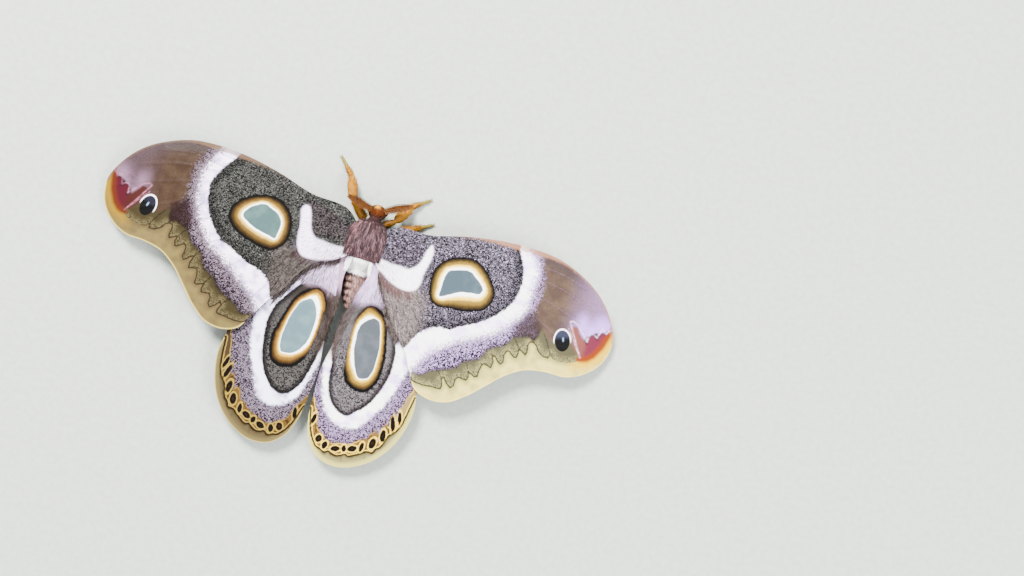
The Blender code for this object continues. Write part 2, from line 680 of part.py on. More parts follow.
def make_thorax(parts, finish, cutters):
    """The thorax with its coat of locks, cut level under the belly."""
    mesh = egg_mesh("thorax", THORAX_CENTRE, THORAX_RADII, THORAX_FACETS)
    cut_level(mesh)
    thorax = add_object("thorax", mesh, parts, finish)
    locks = bpy.data.collections.new("locks")
    draw = random.Random(7)
    steps = 4
    for row in range(LOCK_ROWS):
        columns = LOCK_COLUMNS - row % 2
        level = LOCK_FRONT + (LOCK_REAR - LOCK_FRONT) * row / (LOCK_ROWS - 1)
        narrowing = math.sqrt(1.0 - ((level - THORAX_CENTRE[1]) / LOCK_OVAL) ** 2)
        for column in range(columns):
            share = (column + 0.5) / columns
            x = LOCK_SPREAD * narrowing * (share * 2 - 1) + draw.uniform(-0.1, 0.1)
            y = level + draw.uniform(-0.15, 0.15)
            ahead = max(level, 0.0) / LOCK_FRONT
            heading = LOCK_FAN * x * (1.0 + SHOULDER_FAN * ahead) + draw.uniform(-0.12, 0.12)
            length = LOCK_LENGTH * draw.uniform(0.85, 1.1)
            lift = LOCK_LIFT * draw.uniform(0.0, 1.0)
            middles = [Vector((x, y, thorax_top(x, y) - LOCK_ROOT_DEPTH))]
            for step in range(1, steps + 1):
                x += math.sin(heading) * length / steps
                y -= math.cos(heading) * length / steps
                heading *= 0.72
                height = coat_floor(x, y) + LOCK_THICKNESS / 2 + lift * step / steps
                middles.append(Vector((x, y, height)))
            half = LOCK_WIDTH / 2 * draw.uniform(0.85, 1.15)
            widths = [half * 0.7, half, half * 0.95, half * 0.6]
            depths = [LOCK_THICKNESS / 2 * thin for thin in (1.0, 1.0, 0.9, 0.7)]
            ups = [Vector((middle.x * 0.05, 0.0, 1.0)) for middle in middles]
            name = f"lock_{row}_{column}"
            add_object(name, strip_mesh(name, middles, widths, depths, ups), locks)
    join_pieces(thorax, locks)
    return cut_clear(thorax, around_wing_roots(cutters))


def add_silk(wing, side):
    """Silky locks that lie on the hindwing's inner edge and over the abdomen's side."""
    locks = bpy.data.collections.new("silk")
    steps = 4
    for k, (root, tip) in enumerate(HINDWING_LOCKS[side]):
        root, tip = Vector(root), Vector(tip)
        middles = []
        for step in range(steps + 1):
            place = root.lerp(tip, step / steps)
            rise = SILK_RISE if step else 0.0
            level = wing_height(place.x, place.y) - HINDWING_DROP + rise
            middles.append(Vector((place.x, place.y, level)))
        widths = [SILK_WIDTH / 2 * share for share in (0.7, 1.0, 0.95, 0.6)]
        depths = [LOCK_THICKNESS / 2 * share for share in (0.8, 1.0, 0.9, 0.7)]
        name = f"silk_{side}_{k}"
        ups = [Vector((0, 0, 1))] * len(middles)
        add_object(name, strip_mesh(name, middles, widths, depths, ups), locks)
    return join_pieces(wing, locks)


def make_antenna(side, parts, finish, cutters):
    """The antenna: a shaft with tapering branches in pairs along it."""
    root, tip = (Vector(point) for point in ANTENNA_ENDS[side])
    along = tip - root
    ahead = along.normalized()
    across = Vector((-ahead.y, ahead.x, 0.0)).normalized()
    up = ahead.cross(across)
    shares = [i / ANTENNA_BRANCHES for i in range(ANTENNA_BRANCHES + 1)]
    shaft = make_tube("antenna_" + side, [root + along * share for share in shares],
                      [ANTENNA_SHAFT_RADIUS * (1.0 - ANTENNA_TAPER * share) for share in shares],
                      parts, finish)
    branches = bpy.data.collections.new("branches")
    for i in range(ANTENNA_BRANCHES):
        place = i / (ANTENNA_BRANCHES - 1)
        share = ANTENNA_BRANCH_START + place * (ANTENNA_BRANCH_END - ANTENNA_BRANCH_START)
        length = ANTENNA_BRANCH_LENGTH * (0.55 + 0.45 * math.sin(math.pi * (place * 0.85 + 0.1)))
        for turn in (-1, 1):
            out = (across * turn * math.cos(ANTENNA_BRANCH_LEAN)
                   + ahead * math.sin(ANTENNA_BRANCH_LEAN) + up * 0.22).normalized()
            foot = root + along * share + ahead * (ANTENNA_STAGGER * turn)
            middles = [foot - out * ANTENNA_STAGGER, foot + out * length * 0.55,
                       foot + (out + ahead * 0.18).normalized() * length]
            sizes = [ANTENNA_BRANCH_RADIUS * share for share in (1.0, 0.85)]
            name = f"branch_{side}_{i}_{turn + 1}"
            add_object(name, strip_mesh(name, middles, sizes, sizes, [up] * 3), branches)
    join_pieces(shaft, branches)
    return cut_clear(shaft, cutters)


def main():
    parts, cutters = start_collections()
    finishes = {name: make_finish(name) for name in FINISHES}

    around_thorax = add_cutter("around_thorax", egg_mesh(
        "around_thorax", THORAX_CENTRE, grown(THORAX_RADII), THORAX_FACETS), cutters)
    around_head = add_cutter("around_head", egg_mesh(
        "around_head", HEAD_CENTRE, grown(HEAD_RADII), HEAD_FACETS), cutters)

    make_thorax(parts, finishes["body_hair"], cutters)

    eye_places = {}
    around_eyes = []
    for side, sign in (("left", -1), ("right", 1)):
        place = (HEAD_CENTRE[0] + sign * EYE_REACH, HEAD_CENTRE[1] + EYE_FORWARD,
                 HEAD_CENTRE[2] - EYE_BELOW)
        eye_places[side] = place
        add_object("eye_" + side, egg_mesh("eye_" + side, place, (EYE_RADIUS,) * 3, EYE_FACETS),
                   parts, finishes["eye_facets"])
        around_eyes.append(add_cutter("around_eye_" + side, egg_mesh(
            "around_eye_" + side, place, (EYE_RADIUS + GAP,) * 3, EYE_FACETS), cutters))
    head = add_object("head", egg_mesh("head", HEAD_CENTRE, HEAD_RADII, HEAD_FACETS),
                      parts, finishes["body_hair"])
    cut_clear(head, [around_thorax] + around_eyes)

    for side, sign in (("left", -1), ("right", 1)):
        place = (HEAD_CENTRE[0] + sign * PALP_REACH, HEAD_CENTRE[1] + PALP_FORWARD,
                 HEAD_CENTRE[2] - PALP_BELOW)
        palp = add_object("palp_" + side, egg_mesh(
            "palp_" + side, place, PALP_RADII, PALP_FACETS), parts, finishes["body_hair"])
        cut_clear(palp, [around_head] + around_eyes)
        make_antenna(side, parts, finishes["antenna_feather"], [around_head])

    make_abdomen(parts, finishes["body_hair"], [around_thorax])

    for side in ("left", "right"):
        for pair in ("forewing", "hindwing"):
            wing = make_wing(pair + "_" + side, pair, side, parts, finishes["wing_scales"],
                             [around_thorax])
            if pair == "hindwing":
                add_silk(wing, side)

    for name in LEG_ROUTES:
        make_leg(name, parts, finishes["leg_hair"], [around_thorax])

    for obj in parts.objects:
        if not obj.name.startswith(("forewing", "hindwing")):
            obj.data.shade_smooth()
            obj.data.set_sharp_from_angle(angle=math.radians(50))


main()
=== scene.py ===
# %% [markdown]
# # An African emperor moth, dressed over its solids
# The solids already have the true outline, the hold of the wings and the big locks. This lesson
# puts the finished surfaces over them: four painted wings, one seamless body, a coat of fine
# hair, feathered antennae, eyes of many facets and jointed legs.
# Everything is in metres. +Y points to the head, +X to the moth's right side, and the moth rests
# on a floor at height 0. Sizes in the lists below are millimetres, turned to metres by MM.

# %% Load the solids and keep their box
import json
import math
import bpy
import numpy as np
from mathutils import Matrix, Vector

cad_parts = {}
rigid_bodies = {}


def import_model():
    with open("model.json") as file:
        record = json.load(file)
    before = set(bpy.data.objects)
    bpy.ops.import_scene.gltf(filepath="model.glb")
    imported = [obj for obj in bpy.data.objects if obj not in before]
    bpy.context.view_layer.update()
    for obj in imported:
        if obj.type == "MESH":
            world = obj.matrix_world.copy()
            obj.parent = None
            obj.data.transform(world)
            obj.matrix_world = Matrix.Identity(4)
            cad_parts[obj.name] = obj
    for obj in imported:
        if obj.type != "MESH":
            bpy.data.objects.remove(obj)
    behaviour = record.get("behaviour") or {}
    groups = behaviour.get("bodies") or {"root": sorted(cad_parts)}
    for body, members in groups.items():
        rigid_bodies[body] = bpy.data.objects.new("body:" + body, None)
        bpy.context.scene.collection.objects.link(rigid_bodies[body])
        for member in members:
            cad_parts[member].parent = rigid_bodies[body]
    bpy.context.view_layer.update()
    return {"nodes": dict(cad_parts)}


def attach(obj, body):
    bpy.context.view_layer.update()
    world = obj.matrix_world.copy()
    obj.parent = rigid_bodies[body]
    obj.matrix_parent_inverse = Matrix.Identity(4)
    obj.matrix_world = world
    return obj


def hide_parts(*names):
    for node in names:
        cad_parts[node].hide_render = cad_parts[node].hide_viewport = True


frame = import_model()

MM = 0.001
for loaded in bpy.data.objects:
    loaded.select_set(False)
print("nodes loaded:", len(frame["nodes"]))

# %% [markdown]
# ## The camera
# The moth is seen from straight above, and stands turned by 16.3 degrees in the frame. A lens of
# 55 mm at 300 mm keeps the small perspective of a close view. The moth sits left of the middle,
# and the frame is shifted for that, so that the view still points straight down.

# %% Place the camera
CAMERA_PLACE = (1.079 * MM, -9.129 * MM, 300 * MM)
CAMERA_TURN = math.radians(16.3)
bpy.ops.object.camera_add(location=CAMERA_PLACE, rotation=(0, 0, CAMERA_TURN))
camera = bpy.context.object
camera.data.sensor_width = 36
camera.data.lens = 55.27
camera.data.shift_x = 0.1494
camera.data.shift_y = 0.0005
camera.data.clip_start = 0.01
bpy.context.scene.camera = camera
print("camera height:", camera.location.z)

# %% [markdown]
# ## Making a finish step by step
# A wing is painted like a picture: a ground of speckled scales, then bands, rings and spots over
# it. Nodes could be placed and linked one by one, but a wing needs hundreds. A Finish keeps one
# material's nodes together, and a Value is a number that they work out, so masks can be added
# and multiplied like plain numbers. `mark` reads a number that was measured on the piece, `step`
# turns a number into a mask with a soft edge, `paint` mixes one colour over another where the
# mask says, and `lay` does so over all that is painted so far.

# %% A helper for finishes
LAMP_LEVEL = 7.2  # how brightly the lamps below light a level surface


def tint(red, green, blue):
    """The surface colour for a mix from 0 to 255. The picture's film curve dims whites, lifts
    darks and greys strong colours, so this works the other way, and golds are mixed strong."""
    mixed = []
    for part in (red, green, blue):
        share = part / 255
        mixed.append(min(0.218 / LAMP_LEVEL * (share / (1 - share)) ** 1.22, 0.93))
    return (*mixed, 1.0)


class Value:
    """A number that a finish's nodes work out. Each sum made with it adds a node."""

    def __init__(self, finish, socket):
        self.finish = finish
        self.socket = socket

    def sum(self, kind, first, second=0.0):
        return Value(self.finish, self.finish.node("Math", {0: first, 1: second}, operation=kind)[0])

    def __add__(self, other):
        return self.sum("ADD", self, other)

    def __sub__(self, other):
        return self.sum("SUBTRACT", self, other)

    def __rsub__(self, other):
        return self.sum("SUBTRACT", other, self)

    def __mul__(self, other):
        return self.sum("MULTIPLY", self, other)

    def __truediv__(self, other):
        return self.sum("DIVIDE", self, other)

    def larger(self, other):
        return self.sum("MAXIMUM", self, other)

    def step(self, start, end):
        """From 0 at start to 1 at end, smoothly."""
        rising = start < end
        sockets = {"Value": self, "From Min": min(start, end), "From Max": max(start, end),
                   "To Min": 0.0 if rising else 1.0, "To Max": 1.0 if rising else 0.0}
        made = self.finish.node("MapRange", sockets, interpolation_type="SMOOTHSTEP")
        return Value(self.finish, made["Result"])

    def near(self, centre, half, soft):
        """1 where the number is close to the centre, and 0 away from it."""
        away = self.sum("ABSOLUTE", self - centre)
        return away.step(half + soft, max(half - soft, 0.0))


class Finish:
    def __init__(self, name, mixes=None):
        self.material = bpy.data.materials.new(name)
        self.material.use_nodes = True
        self.tree = self.material.node_tree
        self.shader = self.tree.nodes["Principled BSDF"]
        self.palette = {colour: tint(*mix) for colour, mix in (mixes or {}).items()}
        self.kept = {}
        self.colour = None

    def put(self, socket, value):
        """Set a socket to a plain value or a palette's colour, or link a worked-out value to it."""
        if isinstance(value, Value):
            self.tree.links.new(value.socket, socket)
        else:
            socket.default_value = self.palette[value] if isinstance(value, str) else value

    def node(self, kind, sockets, **settings):
        """A new node with its sockets filled by name or number. Its outputs come back."""
        made = self.tree.nodes.new("ShaderNode" + kind)
        for name, setting in settings.items():
            setattr(made, name, setting)
        for name, value in sockets.items():
            self.put(made.inputs[name], value)
        return made.outputs

    def mark(self, name, part="Fac"):
        """A number or vector measured on the piece."""
        if name not in self.kept:
            self.kept[name] = Value(self, self.node("Attribute", {}, attribute_name=name)[part])
        return self.kept[name]

    def place(self):
        """The place on the piece, in metres."""
        if "place" not in self.kept:
            self.kept["place"] = Value(self, self.node("TexCoord", {})["Object"])
        return self.kept["place"]

    def grain(self, scale, detail=2.0, rough=0.5, at=None):
        sockets = {"Vector": at or self.place(), "Scale": scale, "Detail": detail, "Roughness": rough}
        return Value(self, self.node("TexNoise", sockets)["Fac"])

    def paint(self, under, over, mask):
        sockets = {"Factor": mask, 6: under, 7: over}
        return Value(self, self.node("Mix", sockets, data_type="RGBA")[2])

    def lay(self, over, mask):
        """Lay a colour over all that is painted so far."""
        self.colour = self.paint(self.colour, over, mask)

    def bump(self, height, strength, distance):
        made = self.node("Bump", {"Strength": strength, "Distance": distance, "Height": height})
        self.put(self.shader.inputs["Normal"], Value(self, made["Normal"]))

    def finish(self, colour, roughness):
        self.put(self.shader.inputs["Base Color"], colour)
        self.put(self.shader.inputs["Roughness"], roughness)
        return self.material


print("finish helper ready")

# %% [markdown]
# ## The floor and the light
# A museum model is shown on plain pale card. One big soft lamp from the upper left gives the
# wings their faint shadow, a second fills the dark side, and the sky light keeps the
# shadows open.

# %% Floor, lamps and sky
bpy.ops.mesh.primitive_plane_add(size=3.0)
floor = bpy.context.object
floor.name = "floor"
card = Finish("pale_card")
fibre = card.grain(900, 4, 0.6)
card.finish(card.paint(tint(220, 221, 219), tint(228, 230, 227), fibre), 0.9)
card.bump(fibre, 0.15, 0.0002)
floor.data.materials.append(card.material)


def soft_lamp(name, place, size, power, warmth):
    bpy.ops.object.light_add(type="AREA", location=[v * MM for v in place])
    lamp = bpy.context.object
    lamp.name = name
    lamp.data.shape = "DISK"
    lamp.data.size = size * MM
    lamp.data.energy = power
    lamp.data.color = warmth
    aim = Vector((0, -12 * MM, 0)) - lamp.location
    lamp.rotation_euler = aim.to_track_quat("-Z", "Y").to_euler()
    return lamp


soft_lamp("key_lamp", (-230, 260, 420), 190, 17.2, (1.0, 0.985, 0.96))
soft_lamp("fill_lamp", (320, -120, 380), 300, 6.2, (0.95, 0.97, 1.0))
sky = bpy.data.worlds.new("sky")
sky.use_nodes = True
sky.node_tree.nodes["Background"].inputs["Color"].default_value = (0.93, 0.95, 1.0, 1)
sky.node_tree.nodes["Background"].inputs["Strength"].default_value = 1.76
bpy.context.scene.world = sky
print("floor and lamps ready")

# %% [markdown]
# ## Curves and distances on a wing
# A wing's pattern is a set of outlines: the window, the white band, the toothed margin. Each
# outline is a short list of points, rounded to a smooth curve. For each vertex of a wing the
# distance to each curve is measured once, and the finish turns it into rings and edges.
# A distance stays sharp between the vertices, where a painted colour would blur.

# %% Helpers for curves
def rounded(points, closed=True, steps=6):
    """A smooth curve through the points."""
    points = np.asarray(points, float)
    count = len(points)
    line = []
    for i in range(count if closed else count - 1):
        here = points[i]
        after = points[(i + 1) % count]
        before = points[i - 1] if closed or i else here * 2 - after
        beyond = points[(i + 2) % count] if closed or i + 2 < count else after * 2 - here
        lengths = [max(np.linalg.norm(b - a), 1e-6) for a, b in
                   ((before, here), (here, after), (after, beyond))]
        back, reach, ahead = lengths
        start = ((here - before) * (reach / back) + (after - here) * (back / reach)) / (back + reach)
        end = ((after - here) * (ahead / reach) + (beyond - after) * (reach / ahead)) / (reach + ahead)
        for t in np.arange(steps) / steps:
            line.append(here * (2 * t ** 3 - 3 * t ** 2 + 1) + start * reach * (t ** 3 - 2 * t ** 2 + t)
                        + after * (3 * t ** 2 - 2 * t ** 3) + end * reach * (t ** 3 - t ** 2))
    if not closed:
        line.append(points[-1])
    return np.array(line)


def nearest(spots, line):
    """Distance from each spot to a chain of points, and the nearest place on it."""
    best = np.full(len(spots), 1e9)
    place = np.zeros((len(spots), 2))
    for start, end in zip(line[:-1], line[1:]):
        run = end - start
        share = np.clip((spots - start) @ run / max(run @ run, 1e-12), 0, 1)
        foot = start + share[:, None] * run
        away = np.linalg.norm(spots - foot, axis=1)
        closer = away < best
        best[closer] = away[closer]
        place[closer] = foot[closer]
    return best, place


def inside(spots, loop):
    odd = np.zeros(len(spots), bool)
    for (ax, ay), (bx, by) in zip(loop, np.roll(loop, -1, axis=0)):
        spans = (ay > spots[:, 1]) != (by > spots[:, 1])
        odd ^= spans & (spots[:, 0] < (bx - ax) * (spots[:, 1] - ay) / ((by - ay) or 1e-12) + ax)
    return odd


def to_loop(spots, points):
    """Distance to a closed outline, less than 0 inside it."""
    loop = rounded(points)
    away = nearest(spots, np.vstack([loop, loop[:1]]))[0]
    return np.where(inside(spots, loop), -away, away)


def past_line(spots, points, far, smooth=True):
    """Distance to an open line, more than 0 on the side of the far points."""
    line = rounded(points, False) if smooth else np.asarray(points, float)
    away = nearest(spots, line)[0]
    return np.where(inside(spots, np.vstack([line, far])), away, -away)


print("curve helpers ready")

# %% [markdown]
# ## The wings' outlines and hold
# The outlines are those of the solids. The left wings are the right ones mirrored, then turned
# a little, as the moth holds them, so a place on a left wing can be carried back to the right
# one and share its margin pattern.

# %% Outlines, veins and the wing surface
FOREWING_EDGE = [
    (11.0, 4.1), (18.3, 5.9), (25.8, 7.0), (31.7, 7.1), (35.8, 6.6), (40.1, 5.1), (45.1, 2.1),
    (48.3, -1.5), (50.1, -5.5), (49.4, -9.5), (46.7, -12.6), (43.0, -14.3), (39.1, -14.4),
    (35.3, -15.1), (32.0, -17.1), (28.9, -20.1), (25.9, -23.0), (22.6, -25.1), (19.1, -25.4),
    (16.3, -24.3), (14.5, -21.5), (12.3, -17.5)]
HINDWING_EDGE = [
    (6.5, -3.9), (11.0, -6.5), (15.0, -11.5), (17.2, -17.5), (17.1, -25.0), (17.5, -28.8),
    (16.8, -32.7), (15.2, -36.5), (12.9, -39.4), (9.8, -41.6), (6.2, -42.7), (2.6, -42.0),
    (0.15, -39.6), (-1.2, -35.6), (-1.5, -30.8), (-1.6, -25.9), (-0.8, -20.7), (-0.6, -16.8)]
WING_ROOTS = {
    "forewing_right": [
        (9.5, -14.7), (7.85, -12.3), (4.85, -7.35), (3.5, -4.8), (2.4, -3.2), (2.0, -0.5), (2.2, 1.4),
        (3.6, 3.2)],
    "forewing_left": [
        (-12.3, -12.75), (-10.4, -9.3), (-8.0, -6.7), (-4.0, -4.7), (-2.4, -3.2), (-2.0, -0.5),
        (-2.2, 1.5), (-4.1, 4.0)],
    "hindwing_right": [
        (0.1, -13.4), (1.2, -9.8), (2.0, -6.6), (1.7, -4.8), (1.9, -3.4), (3.0, -3.0)],
    "hindwing_left": [
        (-1.8, -14.2), (-1.95, -11.0), (-2.3, -7.6), (-1.8, -4.8), (-1.9, -3.4), (-3.2, -2.9)]}
LEFT_HOLD = {"forewing": ((3.0, 0.0), 2.35, (0.961, 0.997), (2.09, 1.065)),
             "hindwing": ((3.0, -3.0), 3.88, (0.998, 1.005), (1.98, 0.27))}
FOREWING_VEINS = [
    [(5.0, 2.3), (12.0, 3.1), (22.0, 5.2), (33.0, 5.9)],
    [(5.0, 1.0), (12.0, 1.8), (21.0, 3.1), (28.0, 3.5), (36.0, 4.2), (41.6, 2.9)],
    [(29.5, 2.4), (38.0, 1.3), (46.4, -1.7)],
    [(26.5, 1.2), (36.0, -1.6), (44.0, -4.2), (48.6, -6.4)],
    [(26.6, -1.6), (33.0, -4.4), (41.0, -8.2), (46.9, -11.0)],
    [(25.2, -4.6), (31.0, -8.0), (36.5, -11.6), (39.6, -13.4)],
    [(21.5, -7.2), (27.0, -11.0), (32.6, -15.4)],
    [(15.4, -7.4), (20.5, -12.8), (26.7, -20.9)],
    [(5.0, -0.8), (9.4, -2.6), (13.4, -5.2)],
    [(5.0, -3.0), (9.0, -8.4), (14.0, -15.6), (19.2, -24.0)]]
HINDWING_VEINS = [
    [(5.0, -4.4), (10.0, -7.4), (13.8, -12.4), (16.0, -18.0), (16.2, -24.0)],
    [(5.0, -6.4), (9.4, -12.2), (12.0, -18.0), (14.4, -25.0), (15.9, -31.2)],
    [(11.2, -21.0), (13.2, -28.0), (13.9, -36.2)],
    [(9.6, -25.6), (10.8, -32.0), (10.9, -39.6)],
    [(7.6, -29.4), (7.2, -35.0), (6.8, -41.2)],
    [(3.0, -6.6), (2.7, -12.0), (1.5, -18.0), (2.0, -24.0), (3.8, -29.6), (3.3, -40.6)],
    [(0.4, -19.0), (0.2, -28.0), (0.7, -37.6)]]
HINDWING_DROP = 1.2  # the hindwing lies this far under the forewing
FLIP = {"left": -1, "right": 1}


def wing_height(x, y):
    """Height of the forewing's middle above the floor, as in the solids."""
    across = np.abs(x)
    behind = 0.5 * (np.sqrt(y * y + 9.0) - y)
    return (6.9 - 0.0010 * across ** 2 - 0.065 * behind
            - 0.012 * np.maximum(across - 36.0, 0.0) ** 2 - 0.03 * np.maximum(y - 3.0, 0.0) ** 2)


def placed_left(points, pair):
    """Points of a right wing as they lie on the left one."""
    (hinge_x, hinge_y), degrees, (scale_x, scale_y), (shift_x, shift_y) = LEFT_HOLD[pair]
    turn = math.radians(degrees)
    points = np.asarray(points, float)
    out = (points[:, 0] - hinge_x) * scale_x
    ahead = (points[:, 1] - hinge_y) * scale_y
    side = out * math.cos(turn) - ahead * math.sin(turn) + hinge_x + shift_x
    front = out * math.sin(turn) + ahead * math.cos(turn) + hinge_y + shift_y
    return np.stack([-side, front], 1)


def placed(points, pair, side):
    return placed_left(points, pair) if side == "left" else np.asarray(points, float)


def carried_right(spots, pair):
    """Places of a left wing as they lie on the right one: placed_left the other way round."""
    (hinge_x, hinge_y), degrees, (scale_x, scale_y), (shift_x, shift_y) = LEFT_HOLD[pair]
    turn = math.radians(degrees)
    side = -spots[:, 0] - hinge_x - shift_x
    front = spots[:, 1] - hinge_y - shift_y
    out = (side * math.cos(turn) + front * math.sin(turn)) / scale_x + hinge_x
    ahead = (front * math.cos(turn) - side * math.sin(turn)) / scale_y + hinge_y
    return np.stack([out, ahead], 1)


print("wing outlines ready")

# %% [markdown]
# ## The pattern of the forewing
# These lists are the pattern's outlines, in millimetres on the moth. The window, the white band
# and the bar differ a little from left to right, so each side has its own. The margin with its
# teeth, the eyespot and the red patch are the same on both.

# %% Pattern lines of the forewing
WINDOW = {
    "right": [
        (13.9, -5.7), (13.6, -2.8), (14.1, -1.0), (15.2, 0.4), (16.7, 1.3), (18.7, 1.9), (20.2, 2.0),
        (21.9, 1.4), (23.4, 0.2), (24.8, -1.5), (25.6, -2.9), (25.6, -4.2), (25.2, -5.5), (24.3, -6.5),
        (22.9, -7.1), (20.7, -7.7), (18.4, -7.8), (16.6, -8.1), (15.3, -7.8), (14.2, -6.8)],
    "left": [
        (-26.1, -2.8), (-26.0, -1.2), (-24.9, 0.5), (-23.3, 1.6), (-21.6, 2.4), (-19.7, 2.8),
        (-17.7, 2.6), (-16.0, 1.5), (-14.8, -0.1), (-14.3, -1.9), (-14.3, -3.8), (-15.0, -5.4),
        (-16.6, -6.7), (-18.5, -6.8), (-20.6, -6.4), (-22.5, -5.8), (-24.5, -4.8)]}
PANE = {
    "right": [
        (16.3, -1.3), (17.7, -0.7), (19.1, -0.3), (20.3, -0.3), (21.5, -1.1), (22.8, -2.1),
        (23.4, -2.9), (23.1, -3.7), (21.2, -4.1), (19.4, -4.5), (17.4, -5.6), (15.8, -6.3),
        (15.8, -4.7), (15.8, -3.0)],
    "left": [
        (-23.6, -1.9), (-22.9, -0.5), (-21.8, 0.4), (-20.0, 1.1), (-18.7, 0.6), (-17.3, 0.0),
        (-16.3, -1.5), (-16.4, -3.4), (-16.6, -4.5), (-18.1, -4.3), (-20.1, -3.9), (-22.1, -3.1)]}
BAND_INNER = {
    "right": [
        (27.7, 7.8), (28.3, 5.8), (29.1, 4.2), (29.8, 2.5), (30.1, 1.0), (30.1, -0.9), (29.8, -2.6),
        (29.1, -4.3), (28.0, -5.8), (27.0, -6.9), (25.4, -8.3), (22.9, -9.9), (21.2, -10.7),
        (19.6, -11.8), (17.7, -11.9), (15.9, -12.5), (14.3, -13.7), (13.4, -15.2), (11.9, -18.2)],
    "left": [
        (-26.5, 10.0), (-28.3, 7.3), (-29.4, 5.8), (-30.4, 4.0), (-31.1, 2.2), (-31.0, 0.3),
        (-30.5, -2.1), (-29.7, -3.8), (-28.5, -5.4), (-26.3, -7.7), (-24.3, -8.4), (-21.9, -9.7),
        (-20.2, -10.4), (-17.2, -11.3), (-15.7, -12.4), (-15.0, -14.1), (-13.9, -17.0)]}
BAND_OUTER = {
    "right": [
        (29.6, 8.0), (30.7, 6.3), (31.9, 5.0), (32.6, 3.7), (32.8, 1.8), (32.6, -0.2), (32.6, -2.2),
        (32.5, -3.8), (31.9, -5.7), (30.5, -7.5), (28.7, -9.4), (26.8, -10.9), (24.6, -12.1),
        (22.1, -13.4), (20.1, -14.8), (18.2, -16.3), (16.9, -17.7), (15.9, -19.1), (15.1, -20.9),
        (14.3, -23.2)],
    "left": [
        (-30.9, 9.6), (-31.9, 6.7), (-32.7, 5.1), (-33.2, 3.5), (-33.3, 1.6), (-33.0, -0.8),
        (-32.3, -3.2), (-31.3, -5.2), (-29.9, -7.2), (-28.5, -8.9), (-26.7, -10.1), (-24.6, -11.5),
        (-22.1, -13.3), (-19.9, -15.0), (-18.1, -16.4), (-16.4, -18.8), (-15.6, -20.6)]}
BAR = {
    "right": [
        (12.0, 2.4), (11.4, 1.4), (11.0, -0.5), (10.2, -2.2), (8.8, -3.1), (7.2, -3.0), (5.3, -3.0),
        (3.3, -2.8), (2.0, -3.6), (3.0, -4.6), (4.2, -5.0), (6.0, -6.1), (7.8, -6.8), (9.8, -7.0),
        (11.1, -6.5), (11.8, -5.1), (11.8, -3.8), (12.0, -2.4), (12.4, -0.6), (12.4, 1.6)],
    "left": [
        (-12.9, 3.0), (-12.0, 2.9), (-11.5, 2.0), (-11.1, 0.6), (-10.5, -1.2), (-9.6, -2.2),
        (-7.6, -2.5), (-5.4, -2.7), (-3.4, -2.6), (-2.0, -3.6), (-3.2, -4.5), (-4.6, -5.1),
        (-6.6, -5.8), (-8.9, -6.3), (-11.2, -6.0), (-12.2, -4.6), (-12.6, -3.0), (-12.7, -1.2),
        (-13.0, 0.6), (-13.3, 2.2)]}
RUST_LINE = [(2.0, -4.8), (3.1, -5.1), (5.0, -6.3), (6.5, -6.9), (8.1, -7.4), (10.0, -7.2)]
DARK_ROOT = [
    (1.0, 0.0), (5.0, 1.6), (7.6, 2.4), (10.7, 2.4), (11.1, 1.2), (10.3, -1.0), (8.2, -2.7),
    (5.8, -2.8), (3.2, -2.6), (1.0, -2.0)]
FRONT_EDGE = [
    (1.0, 3.0), (4.0, 3.4), (11.0, 4.1), (18.3, 5.9), (25.8, 7.0), (31.7, 7.1), (35.8, 6.6),
    (40.1, 5.1), (45.1, 2.1), (48.3, -1.5), (50.1, -5.5)]
TEETH = [
    (14.2, -21.0), (14.6, -22.0), (15.4, -22.9), (16.4, -23.1), (17.4, -23.2), (19.4, -23.0),
    (20.4, -23.0), (21.0, -22.9), (21.1, -22.3), (20.7, -21.2), (21.0, -20.6), (21.7, -21.6),
    (22.7, -22.3), (23.2, -21.7), (23.2, -20.5), (23.6, -19.9), (24.4, -20.0), (25.2, -20.1),
    (25.4, -19.3), (25.1, -18.3), (25.6, -18.6), (26.5, -19.0), (27.0, -18.8), (27.0, -17.5),
    (27.2, -16.6), (27.5, -16.1), (28.2, -16.3), (29.0, -16.5), (29.1, -15.3), (28.6, -14.1),
    (29.2, -14.3), (30.0, -15.1), (30.5, -15.4), (30.9, -14.8), (30.7, -13.5), (30.9, -12.7),
    (31.3, -12.5), (31.7, -12.8), (32.5, -13.4), (33.0, -13.4), (33.2, -12.5), (33.0, -11.6),
    (33.4, -11.8), (34.0, -12.1), (34.5, -12.4), (34.7, -11.7), (34.5, -10.4), (34.7, -9.8),
    (35.3, -9.7), (36.0, -10.1), (36.6, -11.0), (37.7, -11.7), (38.9, -11.8), (39.0, -10.9),
    (39.7, -11.6), (40.9, -11.8), (42.4, -11.6), (43.9, -11.1), (44.8, -10.5), (46.1, -10.1),
    (47.2, -9.1), (48.4, -7.0), (49.1, -4.5), (49.7, -2.6)]
TOOTH_SPLITS = [[(19.6, -19.6), (20.7, -21.2)], [(24.2, -16.6), (25.1, -18.3)],
                [(27.7, -12.6), (28.6, -14.1)], [(31.0, -9.3), (32.1, -10.3), (33.0, -11.6)],
                [(36.8, -7.6), (37.8, -8.9), (38.9, -10.8)]]
OLIVE_START = [
    (13.9, -20.6), (15.5, -21.4), (16.7, -21.4), (18.2, -20.2), (19.6, -19.6), (21.2, -19.0),
    (22.7, -18.2), (23.5, -17.0), (24.8, -16.2), (26.3, -15.6), (26.9, -14.4), (27.5, -13.1),
    (28.6, -12.5), (30.0, -11.9), (30.7, -10.9), (31.5, -9.7), (32.6, -9.4), (34.0, -8.9), (35.4, -9.5),
    (35.8, -8.4), (35.9, -7.1), (36.7, -7.4), (38.0, -8.6), (39.0, -8.2), (40.2, -7.4), (42.0, -7.2),
    (44.8, -9.9)]
